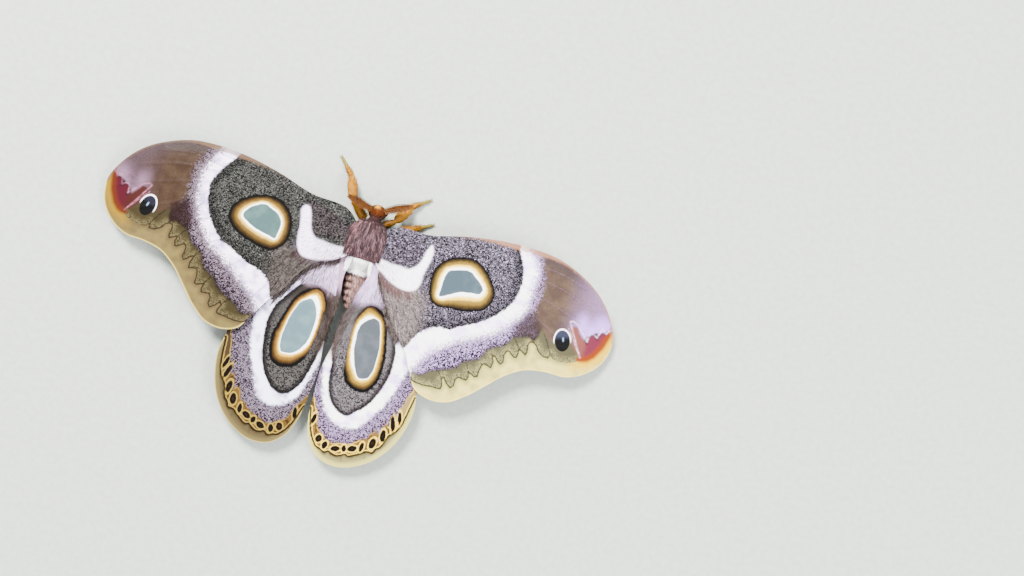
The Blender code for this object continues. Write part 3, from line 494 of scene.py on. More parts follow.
DUSKY_PATCH = [
    (32.1, -5.6), (33.1, -4.3), (34.5, -4.9), (36.1, -6.6), (36.2, -8.2), (35.9, -10.0), (34.7, -9.9),
    (33.2, -9.6), (32.0, -10.0), (31.0, -8.4)]
BROWN_TIP = [
    (31.9, 7.5), (33.0, 4.6), (33.9, 1.7), (34.0, -1.0), (33.8, -4.2), (34.7, -6.4), (36.0, -8.2),
    (37.5, -9.0), (39.0, -9.4), (41.4, -9.4), (43.4, -8.0), (45.0, -5.6), (48.3, -3.9), (51.5, -2.8),
    (51.1, 2.9), (42.4, 9.0), (35.0, 10.3)]
ZIGZAG = [
    (44.7, -10.0), (43.0, -7.4), (40.9, -4.0), (41.4, -3.7), (42.6, -4.2), (43.9, -5.5), (45.2, -6.8),
    (45.2, -5.6), (45.5, -5.0), (46.1, -5.0), (46.8, -5.5), (47.1, -4.6), (47.4, -3.6), (48.3, -4.3),
    (48.7, -3.7), (49.4, -3.2)]
SECOND_LINE = [(40.9, -5.2), (42.2, -6.8), (43.8, -8.9)]
RED_PATCH = [
    (41.8, -4.7), (42.3, -4.6), (43.4, -5.7), (45.4, -7.3), (45.5, -5.8), (45.8, -5.4), (47.0, -6.0),
    (47.4, -4.5), (48.4, -4.8), (49.8, -3.4), (49.7, -5.0), (48.5, -7.2), (47.2, -9.2), (45.7, -10.4),
    (44.8, -10.0)]
EYESPOT_CENTRE, EYESPOT_UP = np.array((40.5, -7.9)), np.array((-0.30, 0.954))
print("forewing pattern: window, band, bar, teeth, tip, red patch and eyespot")

# %% [markdown]
# ## The pattern of the hindwing
# A long window in a dark ring stands in a grey field, a broad white band runs round the field,
# and the margin has a row of black spots, each in an ochre flame, over a wavy line.

# %% Pattern lines of the hindwing
HIND_WINDOW = {
    "right": [
        (3.7, -12.1), (4.8, -11.7), (5.8, -11.9), (6.7, -12.5), (7.4, -13.3), (8.0, -14.4),
        (8.4, -15.9), (8.9, -17.9), (9.3, -19.9), (9.5, -21.5), (9.5, -22.9), (9.3, -24.7),
        (8.9, -25.8), (8.4, -26.7), (7.8, -27.4), (6.9, -27.7), (5.9, -27.7), (4.8, -27.4),
        (4.0, -27.0), (3.3, -26.3), (2.9, -25.4), (2.5, -24.1), (2.4, -22.6), (2.2, -21.1),
        (2.1, -19.5), (2.0, -18.0), (2.0, -16.3), (2.2, -15.0), (2.6, -13.9), (3.1, -12.9)],
    "left": [
        (-7.2, -11.6), (-6.3, -11.3), (-5.5, -11.5), (-4.7, -12.3), (-4.2, -13.3), (-3.9, -14.6),
        (-4.0, -16.0), (-4.0, -17.4), (-4.0, -18.8), (-4.1, -20.0), (-4.3, -21.2), (-4.5, -22.4),
        (-4.8, -23.7), (-5.3, -24.8), (-6.0, -25.8), (-6.9, -26.7), (-8.2, -27.1), (-9.3, -27.3),
        (-10.3, -27.0), (-11.2, -26.4), (-11.7, -25.3), (-12.0, -24.0), (-12.1, -22.6), (-12.1, -21.3),
        (-11.7, -20.0), (-11.3, -18.4), (-10.8, -16.6), (-10.4, -15.2), (-9.7, -13.8), (-8.7, -12.6)]}
HIND_PANE = {
    "right": [
        (4.7, -14.1), (5.5, -13.7), (6.5, -14.1), (7.0, -15.1), (7.4, -16.6), (7.8, -18.2),
        (8.0, -20.1), (8.0, -21.5), (8.0, -22.9), (7.7, -24.1), (7.3, -24.9), (6.4, -25.3),
        (5.6, -25.3), (5.0, -24.6), (4.4, -23.4), (3.8, -21.8), (3.3, -19.9), (3.2, -18.5),
        (3.1, -17.1), (3.3, -15.8), (3.9, -14.8)],
    "left": [
        (-7.9, -13.9), (-7.0, -13.5), (-6.1, -14.1), (-5.5, -15.2), (-5.1, -16.7), (-5.1, -18.3),
        (-5.2, -19.7), (-5.4, -21.1), (-6.0, -22.5), (-6.8, -23.6), (-7.8, -24.4), (-8.9, -24.6),
        (-9.7, -24.6), (-10.2, -23.7), (-10.4, -22.2), (-10.3, -20.3), (-10.1, -18.9), (-9.8, -17.3),
        (-9.3, -15.9), (-8.7, -14.6)]}
HIND_FIELD = {
    "right": [
        (-1.6, -11.7), (-1.4, -16.7), (-0.9, -20.7), (0.1, -24.4), (0.4, -27.3), (1.3, -30.0),
        (2.5, -31.6), (4.2, -32.7), (5.8, -32.8), (6.9, -31.7), (8.0, -30.8), (9.1, -29.3),
        (10.3, -26.7), (11.1, -23.8), (11.3, -20.6), (11.0, -18.3), (10.2, -16.2), (8.8, -14.0),
        (6.9, -11.0), (4.3, -8.0), (0.0, -7.0)],
    "left": [
        (-5.4, -8.0), (-9.0, -10.6), (-11.9, -14.4), (-13.2, -16.5), (-13.8, -19.3), (-13.6, -22.6),
        (-13.2, -25.4), (-11.6, -29.4), (-8.9, -32.0), (-7.3, -32.3), (-5.6, -31.2), (-4.5, -29.5),
        (-3.4, -26.0), (-2.6, -21.3), (-1.6, -14.3), (-1.0, -8.6)]}
HIND_BAND = {
    "right": [
        (-3.0, -12.8), (-2.6, -17.1), (-1.9, -21.1), (-1.2, -24.8), (-0.2, -29.4), (0.9, -32.1),
        (2.7, -34.1), (4.5, -35.0), (6.8, -34.9), (8.8, -33.7), (10.2, -31.7), (11.5, -29.4),
        (12.7, -26.6), (13.5, -24.0), (14.0, -21.7), (12.9, -17.9), (11.3, -14.0), (8.4, -8.7),
        (2.0, -4.0)],
    "left": [
        (-8.0, -7.0), (-12.5, -11.6), (-14.7, -16.0), (-16.1, -19.4), (-16.1, -22.3), (-15.2, -26.0),
        (-13.8, -29.5), (-11.1, -34.2), (-8.9, -34.8), (-6.8, -34.1), (-5.2, -32.9), (-3.1, -27.5),
        (-2.3, -24.5), (-1.0, -19.9), (0.0, -14.0), (0.0, -6.0)]}
# Spots along the margin: centre, half length, half width, and the way they point in degrees
HIND_SPOTS = [(-0.2, -35.0, 0.85, 0.30, 78), (1.7, -38.4, 0.62, 0.5, 70),
              (3.1, -39.3, 0.6, 0.36, 75), (5.2, -39.4, 0.68, 0.42, 15),
              (6.8, -38.9, 0.5, 0.3, 100), (8.3, -38.5, 0.68, 0.46, 25),
              (9.9, -37.8, 0.66, 0.3, 85), (11.7, -36.5, 0.86, 0.5, 80),
              (13.2, -34.6, 0.95, 0.42, 95), (14.4, -32.0, 1.15, 0.32, 105),
              (15.3, -30.5, 0.85, 0.26, 105)]
FLAMES = [
    (-1.3, -31.0), (0.1, -34.0), (1.0, -36.6), (2.2, -37.4), (3.2, -38.3), (4.3, -38.6), (5.9, -38.2),
    (7.7, -37.7), (9.2, -36.6), (10.4, -36.0), (10.8, -35.0), (11.5, -33.9), (12.3, -34.8),
    (12.6, -33.4), (13.0, -32.0), (13.9, -32.8), (13.8, -31.0), (14.0, -29.6), (14.7, -30.8),
    (15.0, -28.8), (15.6, -26.5), (17.0, -22.5)]
WAVY_LINE = [
    (-1.4, -33.2), (-0.8, -35.6), (0.0, -37.9), (0.8, -39.2), (1.7, -40.1), (2.5, -40.3), (3.4, -40.7),
    (4.1, -40.3), (4.8, -40.6), (5.8, -40.7), (6.5, -40.5), (7.2, -40.0), (8.0, -40.2), (8.7, -39.9),
    (9.4, -39.5), (10.2, -39.0), (11.0, -38.4), (12.2, -38.3), (12.7, -37.4), (13.3, -36.9),
    (13.7, -36.0), (14.0, -35.0), (14.5, -34.1), (15.4, -33.1), (16.1, -31.5), (16.5, -29.4),
    (17.0, -26.0)]
HIND_INNER = [(2.0, -6.6), (1.2, -9.8), (0.1, -13.4), (-0.6, -16.8), (-0.8, -20.7), (-1.6, -25.9)]
print("hindwing pattern:", len(HIND_SPOTS), "margin spots")

# %% [markdown]
# ## Cutting and lifting a wing
# A wing is a sheet: a fine grid laid over the outline, with all faces outside deleted and the
# rim pulled onto the outline. It could be filled as one flat face, but then it would have no
# vertices to carry the pattern or to droop. Then the sheet is lifted to the moth's hold,
# thickened, and its veins are raised on both faces.

# %% The sheet of a wing
SPACING = 0.24
SHEET = 0.24
VEIN_RISE = 0.07
VEIN_WIDTH = 0.34


def only(piece):
    """Select one object alone and make it the active one."""
    bpy.ops.object.select_all(action="DESELECT")
    piece.select_set(True)
    bpy.context.view_layer.objects.active = piece


def in_edit_mode(*steps):
    """Run steps in edit mode on all that is selected there."""
    bpy.ops.object.mode_set(mode="EDIT")
    bpy.ops.mesh.select_all(action="SELECT")
    for step in steps:
        step()
    bpy.ops.mesh.normals_make_consistent(inside=False)
    bpy.ops.object.mode_set(mode="OBJECT")


def settle():
    """Put the place, turn and size of the selected object into its mesh."""
    bpy.ops.object.transform_apply(location=True, rotation=True, scale=True)


def unit(ways):
    """Directions of length 1, for an array of them."""
    return ways / np.maximum(np.linalg.norm(ways, axis=-1, keepdims=True), 1e-9)


def spots_of(piece):
    flat = np.zeros(len(piece.data.vertices) * 3)
    piece.data.vertices.foreach_get("co", flat)
    return flat.reshape(-1, 3)


def move_spots(piece, spots):
    piece.data.vertices.foreach_set("co", np.asarray(spots, float).ravel())
    piece.data.update()


def write_mark(piece, name, values):
    mark = piece.data.attributes.new(name, "FLOAT", "POINT")
    mark.data.foreach_set("value", np.asarray(values, np.float32))


def wing_sheet(name, outline):
    """A flat sheet with the wing's outline, in millimetres."""
    low, high = outline.min(0) - 0.5, outline.max(0) + 0.5
    size = high - low
    bpy.ops.mesh.primitive_grid_add(
        x_subdivisions=int(size[0] / SPACING), y_subdivisions=int(size[1] / SPACING), size=1.0)
    sheet = bpy.context.object
    sheet.name = name
    spots = spots_of(sheet)
    spots[:, :2] = (spots[:, :2] + 0.5) * size + low
    move_spots(sheet, spots)
    middles = np.zeros(len(sheet.data.polygons) * 3)
    sheet.data.polygons.foreach_get("center", middles)
    outside = ~inside(middles.reshape(-1, 3)[:, :2], outline)
    bpy.ops.object.mode_set(mode="EDIT")
    bpy.ops.mesh.select_mode(type="FACE")
    bpy.ops.object.mode_set(mode="OBJECT")
    sheet.data.polygons.foreach_set("select", outside)
    bpy.ops.object.mode_set(mode="EDIT")
    bpy.ops.mesh.delete(type="FACE")
    bpy.ops.mesh.select_mode(type="VERT")
    bpy.ops.mesh.select_all(action="DESELECT")
    bpy.ops.mesh.select_non_manifold(extend=False)
    bpy.ops.object.mode_set(mode="OBJECT")
    rim = np.zeros(len(sheet.data.vertices), bool)
    sheet.data.vertices.foreach_get("select", rim)
    spots = spots_of(sheet)
    spots[rim, :2] = nearest(spots[rim, :2], np.vstack([outline, outline[:1]]))[1]
    move_spots(sheet, spots)
    return sheet


def raise_wing(sheet, veins, drop):
    """Lift the sheet to its hold, thicken it and raise its veins."""
    spots = spots_of(sheet)
    away = np.full(len(spots), 9.0)
    for vein in veins:
        away = np.minimum(away, nearest(spots[:, :2], rounded(vein, False))[0])
    write_mark(sheet, "vein", away)
    spots[:, 2] = wing_height(spots[:, 0], spots[:, 1]) - drop
    move_spots(sheet, spots * MM)
    only(sheet)
    wall = sheet.modifiers.new("wall", "SOLIDIFY")
    wall.thickness = SHEET * MM
    wall.offset = 0.0
    bpy.ops.object.modifier_apply(modifier=wall.name)
    spots = spots_of(sheet) / MM
    middle = wing_height(spots[:, 0], spots[:, 1]) - drop
    away = np.zeros(len(spots), np.float32)
    sheet.data.attributes["vein"].data.foreach_get("value", away)
    crest = np.clip(1 - away / VEIN_WIDTH, 0, 1) ** 0.7
    spots[:, 2] += np.sign(spots[:, 2] - middle) * VEIN_RISE * crest
    move_spots(sheet, spots * MM)
    bpy.ops.object.shade_smooth_by_angle(angle=math.radians(50))
    return sheet


print("wing tools ready")

# %% [markdown]
# ## Measuring the pattern on the wings
# Each outline becomes one number at each vertex: how far it is from there. The left wings are
# measured on the right wings' chart, wherever both sides share a line.

# %% Marks of the wings
BAND_FAR = np.array([(14, -40), (60, -40), (60, 20), (30, 20)])
MARGIN_FAR = [(60, 10), (60, -40), (10, -40)]
HIND_FAR = [(30, -30), (30, -60), (-20, -60), (-20, -30)]


def chart_of(spots, pair, side):
    return spots if side == "right" else carried_right(spots, pair)


def mark_all(piece, measure, spots, **shapes):
    """Write one distance for each named shape."""
    for name, shape in shapes.items():
        write_mark(piece, name, measure(spots, shape))


def to_sharp_lines(spots, lines):
    return np.min([nearest(spots, np.array(line))[0] for line in lines], axis=0)


def to_smooth_line(spots, line):
    return nearest(spots, rounded(line, False))[0]


def past_margin(spots, line):
    return past_line(spots, line, MARGIN_FAR, smooth=False)


def mark_place(piece, chart, fan, reach):
    """Where a vertex is, and its direction and distance from the wing's root."""
    for name, values in (("out", chart[:, 0]), ("ahead", chart[:, 1]), ("fan", fan), ("reach", reach)):
        write_mark(piece, name, values)


def mark_forewing(piece, spots, side):
    """Write the pattern's distances on a piece, for a place in millimetres at each vertex."""
    chart = chart_of(spots, "forewing", side)

    def past_band(spots, line):
        return past_line(spots, line, BAND_FAR * (FLIP[side], 1))

    mark_all(piece, to_loop, spots, window=WINDOW[side], pane=PANE[side], bar=BAR[side])
    mark_all(piece, past_band, spots, band_inner=BAND_INNER[side], band_outer=BAND_OUTER[side])
    mark_all(piece, to_loop, chart, dark_root=DARK_ROOT, dusky=DUSKY_PATCH, brown_tip=BROWN_TIP,
             red=RED_PATCH)
    mark_all(piece, to_smooth_line, chart, rust=RUST_LINE, front=FRONT_EDGE)
    mark_all(piece, past_margin, chart, teeth=TEETH, olive=OLIVE_START)
    mark_all(piece, to_sharp_lines, chart, splits=TOOTH_SPLITS, zigzag=[ZIGZAG],
             second_line=[SECOND_LINE])
    reach = chart - EYESPOT_CENTRE
    write_mark(piece, "eye_up", reach @ EYESPOT_UP)
    write_mark(piece, "eye_out", reach @ np.array((EYESPOT_UP[1], -EYESPOT_UP[0])))
    x, y = (chart - (2.0, 1.0)).T
    mark_place(piece, chart, np.arctan2(y, x) * 12, np.hypot(x, y))


def mark_hindwing(piece, spots, side):
    chart = chart_of(spots, "hindwing", side)
    mark_all(piece, to_loop, spots, window=HIND_WINDOW[side], pane=HIND_PANE[side],
             field=HIND_FIELD[side], band=HIND_BAND[side])
    write_mark(piece, "flames", past_line(chart, FLAMES, HIND_FAR, smooth=False))
    write_mark(piece, "wavy", past_line(chart, WAVY_LINE, HIND_FAR))
    spot_edge = np.full(len(chart), 9.0)
    for x, y, length, width, degrees in HIND_SPOTS:
        along = np.array((math.cos(math.radians(degrees)), math.sin(math.radians(degrees))))
        reach = chart - (x, y)
        long_part = reach @ along / length
        wide_part = reach @ np.array((-along[1], along[0])) / width
        spot_edge = np.minimum(spot_edge, (np.hypot(long_part, wide_part) - 1) * width)
    write_mark(piece, "spot", spot_edge)
    mark_all(piece, to_sharp_lines, chart, inner=[HIND_INNER])
    x, y = (chart - (3.0, -2.0)).T
    mark_place(piece, chart, np.arctan2(x, -y) * 14, np.hypot(x, y))


print("wing marks ready")

# %% [markdown]
# ## The wings' scales
# The forewing's ground is salt and pepper: pale scales scattered among dark ones. The finish
# lays the pattern over it in the order of the wing itself: the root, the bar, the band, the
# lilac sprinkle, the brown tip, the toothed margin, the red patch, the eyespot and last the
# window in its rings. The window is a bare glassy skin, so it is smoother than the scales.

# %% Colours of the wings: the right wing's mix, then the left one's, mostly the same colours made darker as painted shade
PALETTES = {
    "forewing": {
        "zigzag": ((241, 237, 240), (226, 197, 210)), "lens": ((93, 103, 133), (49, 49, 78)),
        "bar_root": ((215, 201, 209), (186, 168, 176)), "salt": ((164, 157, 169), (118, 118, 113)),
        "pepper": ((25, 21, 26), (5, 5, 5)), "spark": ((233, 229, 236), (196, 194, 190)),
        "root_salt": ((156, 146, 159), (121, 108, 111)), "root_pepper": ((28, 17, 27), (8, 5, 5)),
        "hair_light": ((210, 203, 201), (179, 170, 165)), "hair_dark": ((106, 90, 88), (69, 50, 45)),
        "lilac_salt": ((221, 211, 227), (190, 177, 188)), "lilac_pepper": ((48, 34, 53), (46, 28, 42)),
        "white": ((241, 241, 240), (240, 238, 241)), "white_shade": ((237, 233, 240), (225, 220, 232)),
        "tip": ((143, 116, 102), (102, 69, 45)), "tip_middle": ((168, 145, 121), (125, 96, 69)),
        "tip_front": ((129, 109, 112), (104, 83, 84)), "tip_lilac_and_painted_sheen": ((204, 184, 206), (137, 110, 118)),
        "painted_sheen": ((230, 215, 238), (197, 173, 192)), "dusky": ((106, 83, 79), (57, 23, 22)),
        "olive": ((203, 199, 161), (162, 150, 107)), "olive_dark": ((153, 147, 112), (101, 87, 47)),
        "split": ((77, 66, 48), (41, 26, 9)), "coral": ((194, 138, 125), (118, 46, 37)),
        "crimson": ((183, 82, 119), (132, 28, 55)), "orange": ((202, 114, 25), (156, 69, 27)),
        "cream": ((232, 228, 186), (183, 169, 110)), "cream_shade": ((215, 212, 164), (160, 141, 94)),
        "yellow": ((233, 222, 33), (201, 179, 37)), "line": ((97, 87, 63), (69, 54, 26)),
        "costa_tan_and_highlight": ((214, 187, 162), (177, 150, 122)), "gold": ((200, 180, 84), (179, 151, 72)),
        "gold_dark": ((124, 100, 47), (106, 76, 26)), "pale": ((239, 233, 160), (232, 223, 143)),
        "pane": ((136, 155, 165), (137, 168, 167)), "pane_light": ((152, 170, 177), (155, 182, 179)),
        "rust": ((162, 122, 118), (95, 63, 58))},
    "hindwing": {
        "salt": ((210, 198, 216), (190, 179, 192)), "pepper": ((48, 34, 53), (28, 17, 27)),
        "white": ((241, 241, 240), (238, 238, 241)), "white_shade": ((233, 227, 238), (219, 212, 226)),
        "grey_dark": ((66, 57, 62), (31, 25, 26)), "grey_light": ((184, 179, 181), (151, 147, 144)),
        "silk": ((233, 226, 235), (224, 212, 222)), "silk_dark": ((186, 172, 185), (171, 154, 159)),
        "hair": ((168, 152, 148), (141, 122, 113)), "hair_dark": ((89, 73, 70), (64, 45, 37)),
        "rim": ((38, 21, 29), (12, 5, 5)), "pane": ((145, 152, 159), (164, 185, 190)),
        "pane_light": ((160, 167, 173), (176, 195, 197)), "gold": ((205, 182, 76), (192, 161, 72)),
        "gold_dark": ((134, 105, 47), (125, 88, 34)), "pale": ((234, 226, 59), (233, 222, 58)),
        "flame": ((190, 161, 70), (165, 130, 55)), "flame_dark": ((99, 63, 29), (71, 38, 8)),
        "end": ((205, 194, 142), (117, 88, 57)), "network": ((234, 227, 145), (210, 198, 105)),
        "cream": ((202, 196, 153), (153, 136, 93)), "cream_light": ((224, 221, 174), (179, 166, 112)),
        "rib": ((171, 164, 118), (126, 110, 69)), "line": ((69, 54, 23), (41, 25, 5))}}
print("colours:", {pair: len(mixes) for pair, mixes in PALETTES.items()})

# %% [markdown]
# ## What all four wings share
# Both pairs have the same scales, the same streaks of hair from the root, and a window in black,
# gold and white rings. Each could be painted anew, but then the four would drift apart, so a
# wing's finish is a Finish with these added once.

# %% What all wings share
class WingFinish(Finish):
    """Fine scales, broad clouds, ragged edges, streaks of hair, and the window in its rings."""

    def __init__(self, pair, side, streaks, hairs):
        # the left wings take the second mixes, darker with painted shade
        mixes = {colour: both[side == "left"] for colour, both in PALETTES[pair].items()}
        super().__init__(pair + "_scales_" + side, mixes)
        self.speckle = self.grain(1500, 3, 0.6)
        self.fine = self.scales(6200) * 0.8 + self.speckle * 0.2
        self.broad = self.grain(420, 2)
        self.ragged = (self.speckle - 0.5) * 0.9
        fan = self.node("CombineXYZ", {0: self.mark("fan"), 1: self.mark("reach") * streaks})[0]
        self.streak = self.grain(5.0, 4, 0.65, Value(self, fan))
        self.hairy = (self.streak - 0.5) * hairs

    def scales(self, scale):
        """Tiny scales side by side: each has a shade of its own and a darker rim."""
        cells = self.node("TexVoronoi", {"Vector": self.place(), "Scale": scale},
                          voronoi_dimensions="2D")
        shades = self.node("SeparateColor", {0: Value(self, cells["Color"])})
        return Value(self, shades[0]) * 0.85 + (0.2 - Value(self, cells["Distance"]) * 0.3)

    def moved(self, name, wobble, by=None):
        return self.mark(name) + (by or self.ragged) * wobble

    def edge(self, name, at, soft, wobble=1.0, by=None):
        """A mask that is 1 below the distance and 0 above it."""
        return self.moved(name, wobble, by).step(at + soft, at - soft)

    def past(self, name, at, soft, wobble=1.0, by=None):
        return self.moved(name, wobble, by).step(at - soft, at + soft)

    def window(self, halo, soft, white):
        """A black outline, a gold ring, a pale rim, white, and the bare pane in the middle.
        The ring's parts are shares of its width, from 0 at the pane to 1 at the outline."""
        uneven = self.speckle - 0.5
        window = self.mark("window") + uneven * 0.5
        pane = self.mark("pane") + uneven * 0.25
        share = pane / (pane - window).larger(0.3) - white
        self.lay(tint(61, 35, 23), (window - halo).step(0.5, -0.7) * (halo.step(0.05, 0.4) * 0.85))
        self.lay(tint(5, 5, 5), window.step(0.26, 0.0) * (1.0 - soft * 0.75))
        ring = self.paint("gold", "gold_dark", share.step(0.38, 0.66))
        ring = self.paint(ring, tint(8, 5, 5), share.step(0.62, 0.84))
        ring = self.paint(ring, "pale", share.step(0.38, 0.14))
        ring = self.paint(ring, tint(241, 241, 240), share.step(0.14, 0.0))
        self.lay(ring, window.step(0.02, -0.2))
        in_pane = pane.step(0.1, -0.08)
        self.lay(self.paint("pane", "pane_light", self.grain(420, 2).step(0.4, 0.7)), in_pane)
        return in_pane

    def sheen(self, smooth, rough):
        """Matt scales with a little relief, and a smooth pane."""
        self.bump(self.fine * (1.0 - smooth), 0.3, 0.00012)
        self.shader.inputs["Specular IOR Level"].default_value = 0.06
        self.put(self.shader.inputs["Coat Weight"], smooth * 0.12)
        return self.finish(self.colour, rough - smooth * 0.4)


print("wing finish helper ready")

# %% [markdown]
# ## The forewing, layer by layer
# A layer is a colour and a mask. Most masks come from a measured distance that the scales make
# uneven, so that the layer's edge frays as on the real wing.

# %% Forewing finish
LILAC_DARKENS = {"left": 0.085, "right": 0.06}
WHITE_SHARE = {"left": 0.08, "right": 0.15}


def forewing_scales(side):
    wing = WingFinish("forewing", side, 0.16, 2.2)
    fine, broad, streak, hairy = wing.fine, wing.broad, wing.streak, wing.hairy
    out, teeth, vein, in_band = map(wing.mark, ("out", "teeth", "vein", "band_inner"))

    # salt and pepper, darker to the band
    salt = fine - in_band.step(-2.4, -0.1) * 0.16 + (broad - 0.5) * 0.2
    wing.colour = wing.paint("pepper", "salt", salt.step(0.28, 0.66))
    wing.lay("spark", salt.step(0.72, 0.94) * 0.7)

    # the root: dark sprinkle, then brushed hair behind the bar
    root = wing.paint("root_pepper", "root_salt", fine.step(0.3, 0.66))
    root = wing.paint(root, "spark", fine.step(0.74, 0.94) * 0.6)
    wing.lay(root, wing.edge("dark_root", 0.0, 0.5))
    behind = (wing.mark("ahead") + wing.ragged * 2.0).step(-5.2, -7.0)
    brushed = behind * out.step(15.5, 11.5) * in_band.step(0.0, -0.3)
    hair = wing.paint("hair_dark", "hair_light", streak.step(0.34, 0.62))
    hair = wing.paint(hair, "pepper", fine.step(0.5, 0.36) * 0.5)
    wing.lay(hair, brushed * 0.9)
    wing.lay("rust", wing.edge("rust", 0.6, 0.55, 1.0, hairy) * 0.85)
    silky = wing.paint("white_shade", "white", streak.step(0.36, 0.56))
    silky = wing.paint(silky, "bar_root", out.step(9.5, 4.5) * streak.step(0.62, 0.3))
    wing.lay(silky, wing.edge("bar", 0.0, 0.3, 0.45, hairy))

    # the lilac sprinkle past the band, from pale to dark
    lilac_salt = fine - wing.mark("band_outer") * LILAC_DARKENS[side] + 0.08
    lilac = wing.paint("lilac_pepper", "lilac_salt", lilac_salt.step(0.3, 0.7))
    scatter = fine - 0.5
    wing.lay(lilac, wing.past("band_outer", -0.55, 0.7, 2.2, scatter))

    # the brown tip: darker at the front, lighter in its middle and lilac to the margin, where the lilac
    # is partly the wing's own and partly painted sheen
    tip = wing.paint("tip", "tip_middle", broad.step(0.3, 0.7))
    tip = wing.paint(tip, "tip_front", wing.mark("front").step(3.4, 0.6) * 0.8)
    tip = wing.paint(tip, "tip_lilac_and_painted_sheen", out.step(38.0, 46.0) * 0.95)
    tip = wing.paint(tip, "tip_lilac_and_painted_sheen", vein.step(0.16, 0.05) * 0.2)
    tip = wing.paint(tip, "dusky", fine.step(0.44, 0.3) * 0.25)
    wing.lay(tip, wing.edge("brown_tip", 0.1, 1.0, 2.2))
    # painted sheen: a lilac-white glow laid near the zigzag, where the glossy tip reflects the light
    painted_sheen = wing.mark("zigzag").step(3.6, 0.2) * wing.edge("brown_tip", 0.0, 0.3)
    painted_sheen = painted_sheen * out.step(40.5, 43.5) * (wing.grain(180, 1) + hairy * 0.12).step(0.3, 0.6)
    wing.lay("painted_sheen", painted_sheen * 0.8)
    wing.lay("dusky", wing.edge("dusky", 0.0, 0.9, 1.8) * 0.9)

    # the margin: olive teeth, their dark outline, and cream past it
    olive = wing.paint("olive_dark", "olive", fine.step(0.25, 0.6))
    olive = wing.paint("olive_dark", olive, teeth.step(-1.6, -0.3))
    wing.lay(olive, wing.past("olive", 0.0, 0.3, 0.8))
    wing.lay("split", wing.edge("splits", 0.12, 0.1, 0.25) * 0.85)
    wing.lay("split", wing.moved("olive", 0.6).near(-0.1, 0.3, 0.25) * 0.55 * out.step(37.0, 35.0))
    cream = wing.paint("cream", "cream_shade", teeth.step(1.1, 0.1))
    cream = wing.paint(cream, "cream_shade", broad.step(0.4, 0.7) * 0.7)
    cream = wing.paint(cream, "yellow", out.step(41.5, 46.0) * teeth.step(2.6, 0.6))
    cream = wing.paint(cream, tint(238, 234, 186), wing.mark("rim").step(0.34, 0.1) * 0.4)
    wing.lay(cream, wing.past("teeth", 0.0, 0.12, 0.25))
    line = wing.moved("teeth", 0.3).near(-0.04, 0.13, 0.09) * out.step(42.0, 38.0)
    wing.lay("line", line * 0.95)

    # the red patch: coral, crimson in the middle, orange and yellow to the margin
    red = wing.paint("coral", "crimson", out.step(44.4, 45.8))
    red = wing.paint(red, "orange", teeth.step(-1.3, -0.2))
    red = wing.paint(red, "yellow", teeth.step(-0.1, 0.9))
    low = wing.edge("red", 0.8, 0.4) * teeth.step(-1.0, -0.5)
    wing.lay(red, wing.edge("red", 0.1, 0.35, 0.4).larger(low))
    for name, at, soft, strength in (("zigzag", 0.0, 0.34, 0.5), ("zigzag", 0.03, 0.1, 0.9),
                                     ("second_line", 0.0, 0.2, 0.75)):
        wing.lay("zigzag", wing.edge(name, at, soft, 0.3) * strength)

    # the eyespot: a black lens with a blue-grey upper half, under a white arc
    up, aside = wing.mark("eye_up"), wing.mark("eye_out")
    oval = up.sum("POWER", up / 1.95, 2.0) + up.sum("POWER", aside / 1.42, 2.0)
    oval = oval.sum("SQRT", oval)
    wing.lay(tint(241, 239, 241), oval.near(1.14, 0.07, 0.05) * up.step(-0.6, 0.3))
    lens = wing.paint(tint(5, 5, 5), "lens", up.step(0.1, 1.1))
    glint = aside.near(0.15, 0.12, 0.14) * up.near(0.3, 0.3, 0.3)
    lens = wing.paint(lens, tint(205, 217, 228), glint)
    wing.lay(lens, oval.step(1.05, 0.96))

    # the white band with a pale shade along its veins, the front edge's tan rim with a painted
    # highlight, and the window
    white = wing.paint("white_shade", "white", broad.step(0.3, 0.6))
    white = wing.paint(white, "white_shade", vein.step(0.3, 0.05) * 0.8)
    wing.lay(white, wing.past("band_inner", 0.0, 0.2) * wing.edge("band_outer", -0.5, 0.5, 2.2, scatter))
    # the front edge's rim: partly its own tan, partly a painted highlight where the edge rolls down
    widest = out.near(29.0, 3.0, 8.0) * 0.8
    tan = (wing.moved("front", 0.8) - widest).step(0.55, -0.1) * out.step(14.0, 24.0)
    wing.lay("costa_tan_and_highlight", tan * 0.8)
    in_pane = wing.window(out.step(19.0, 15.0) * 0.3, 0.0, WHITE_SHARE[side])
    on_tip = wing.edge("brown_tip", 0.0, 0.6)
    return wing.sheen(in_pane.larger(on_tip * 0.05), 0.74 - on_tip * 0.12)


print("forewing finish ready")

# %% [markdown]
# ## The hindwing's scales
# The same ground and rings, with a streaked silver field round the window, and the flames and
# black spots of the margin.

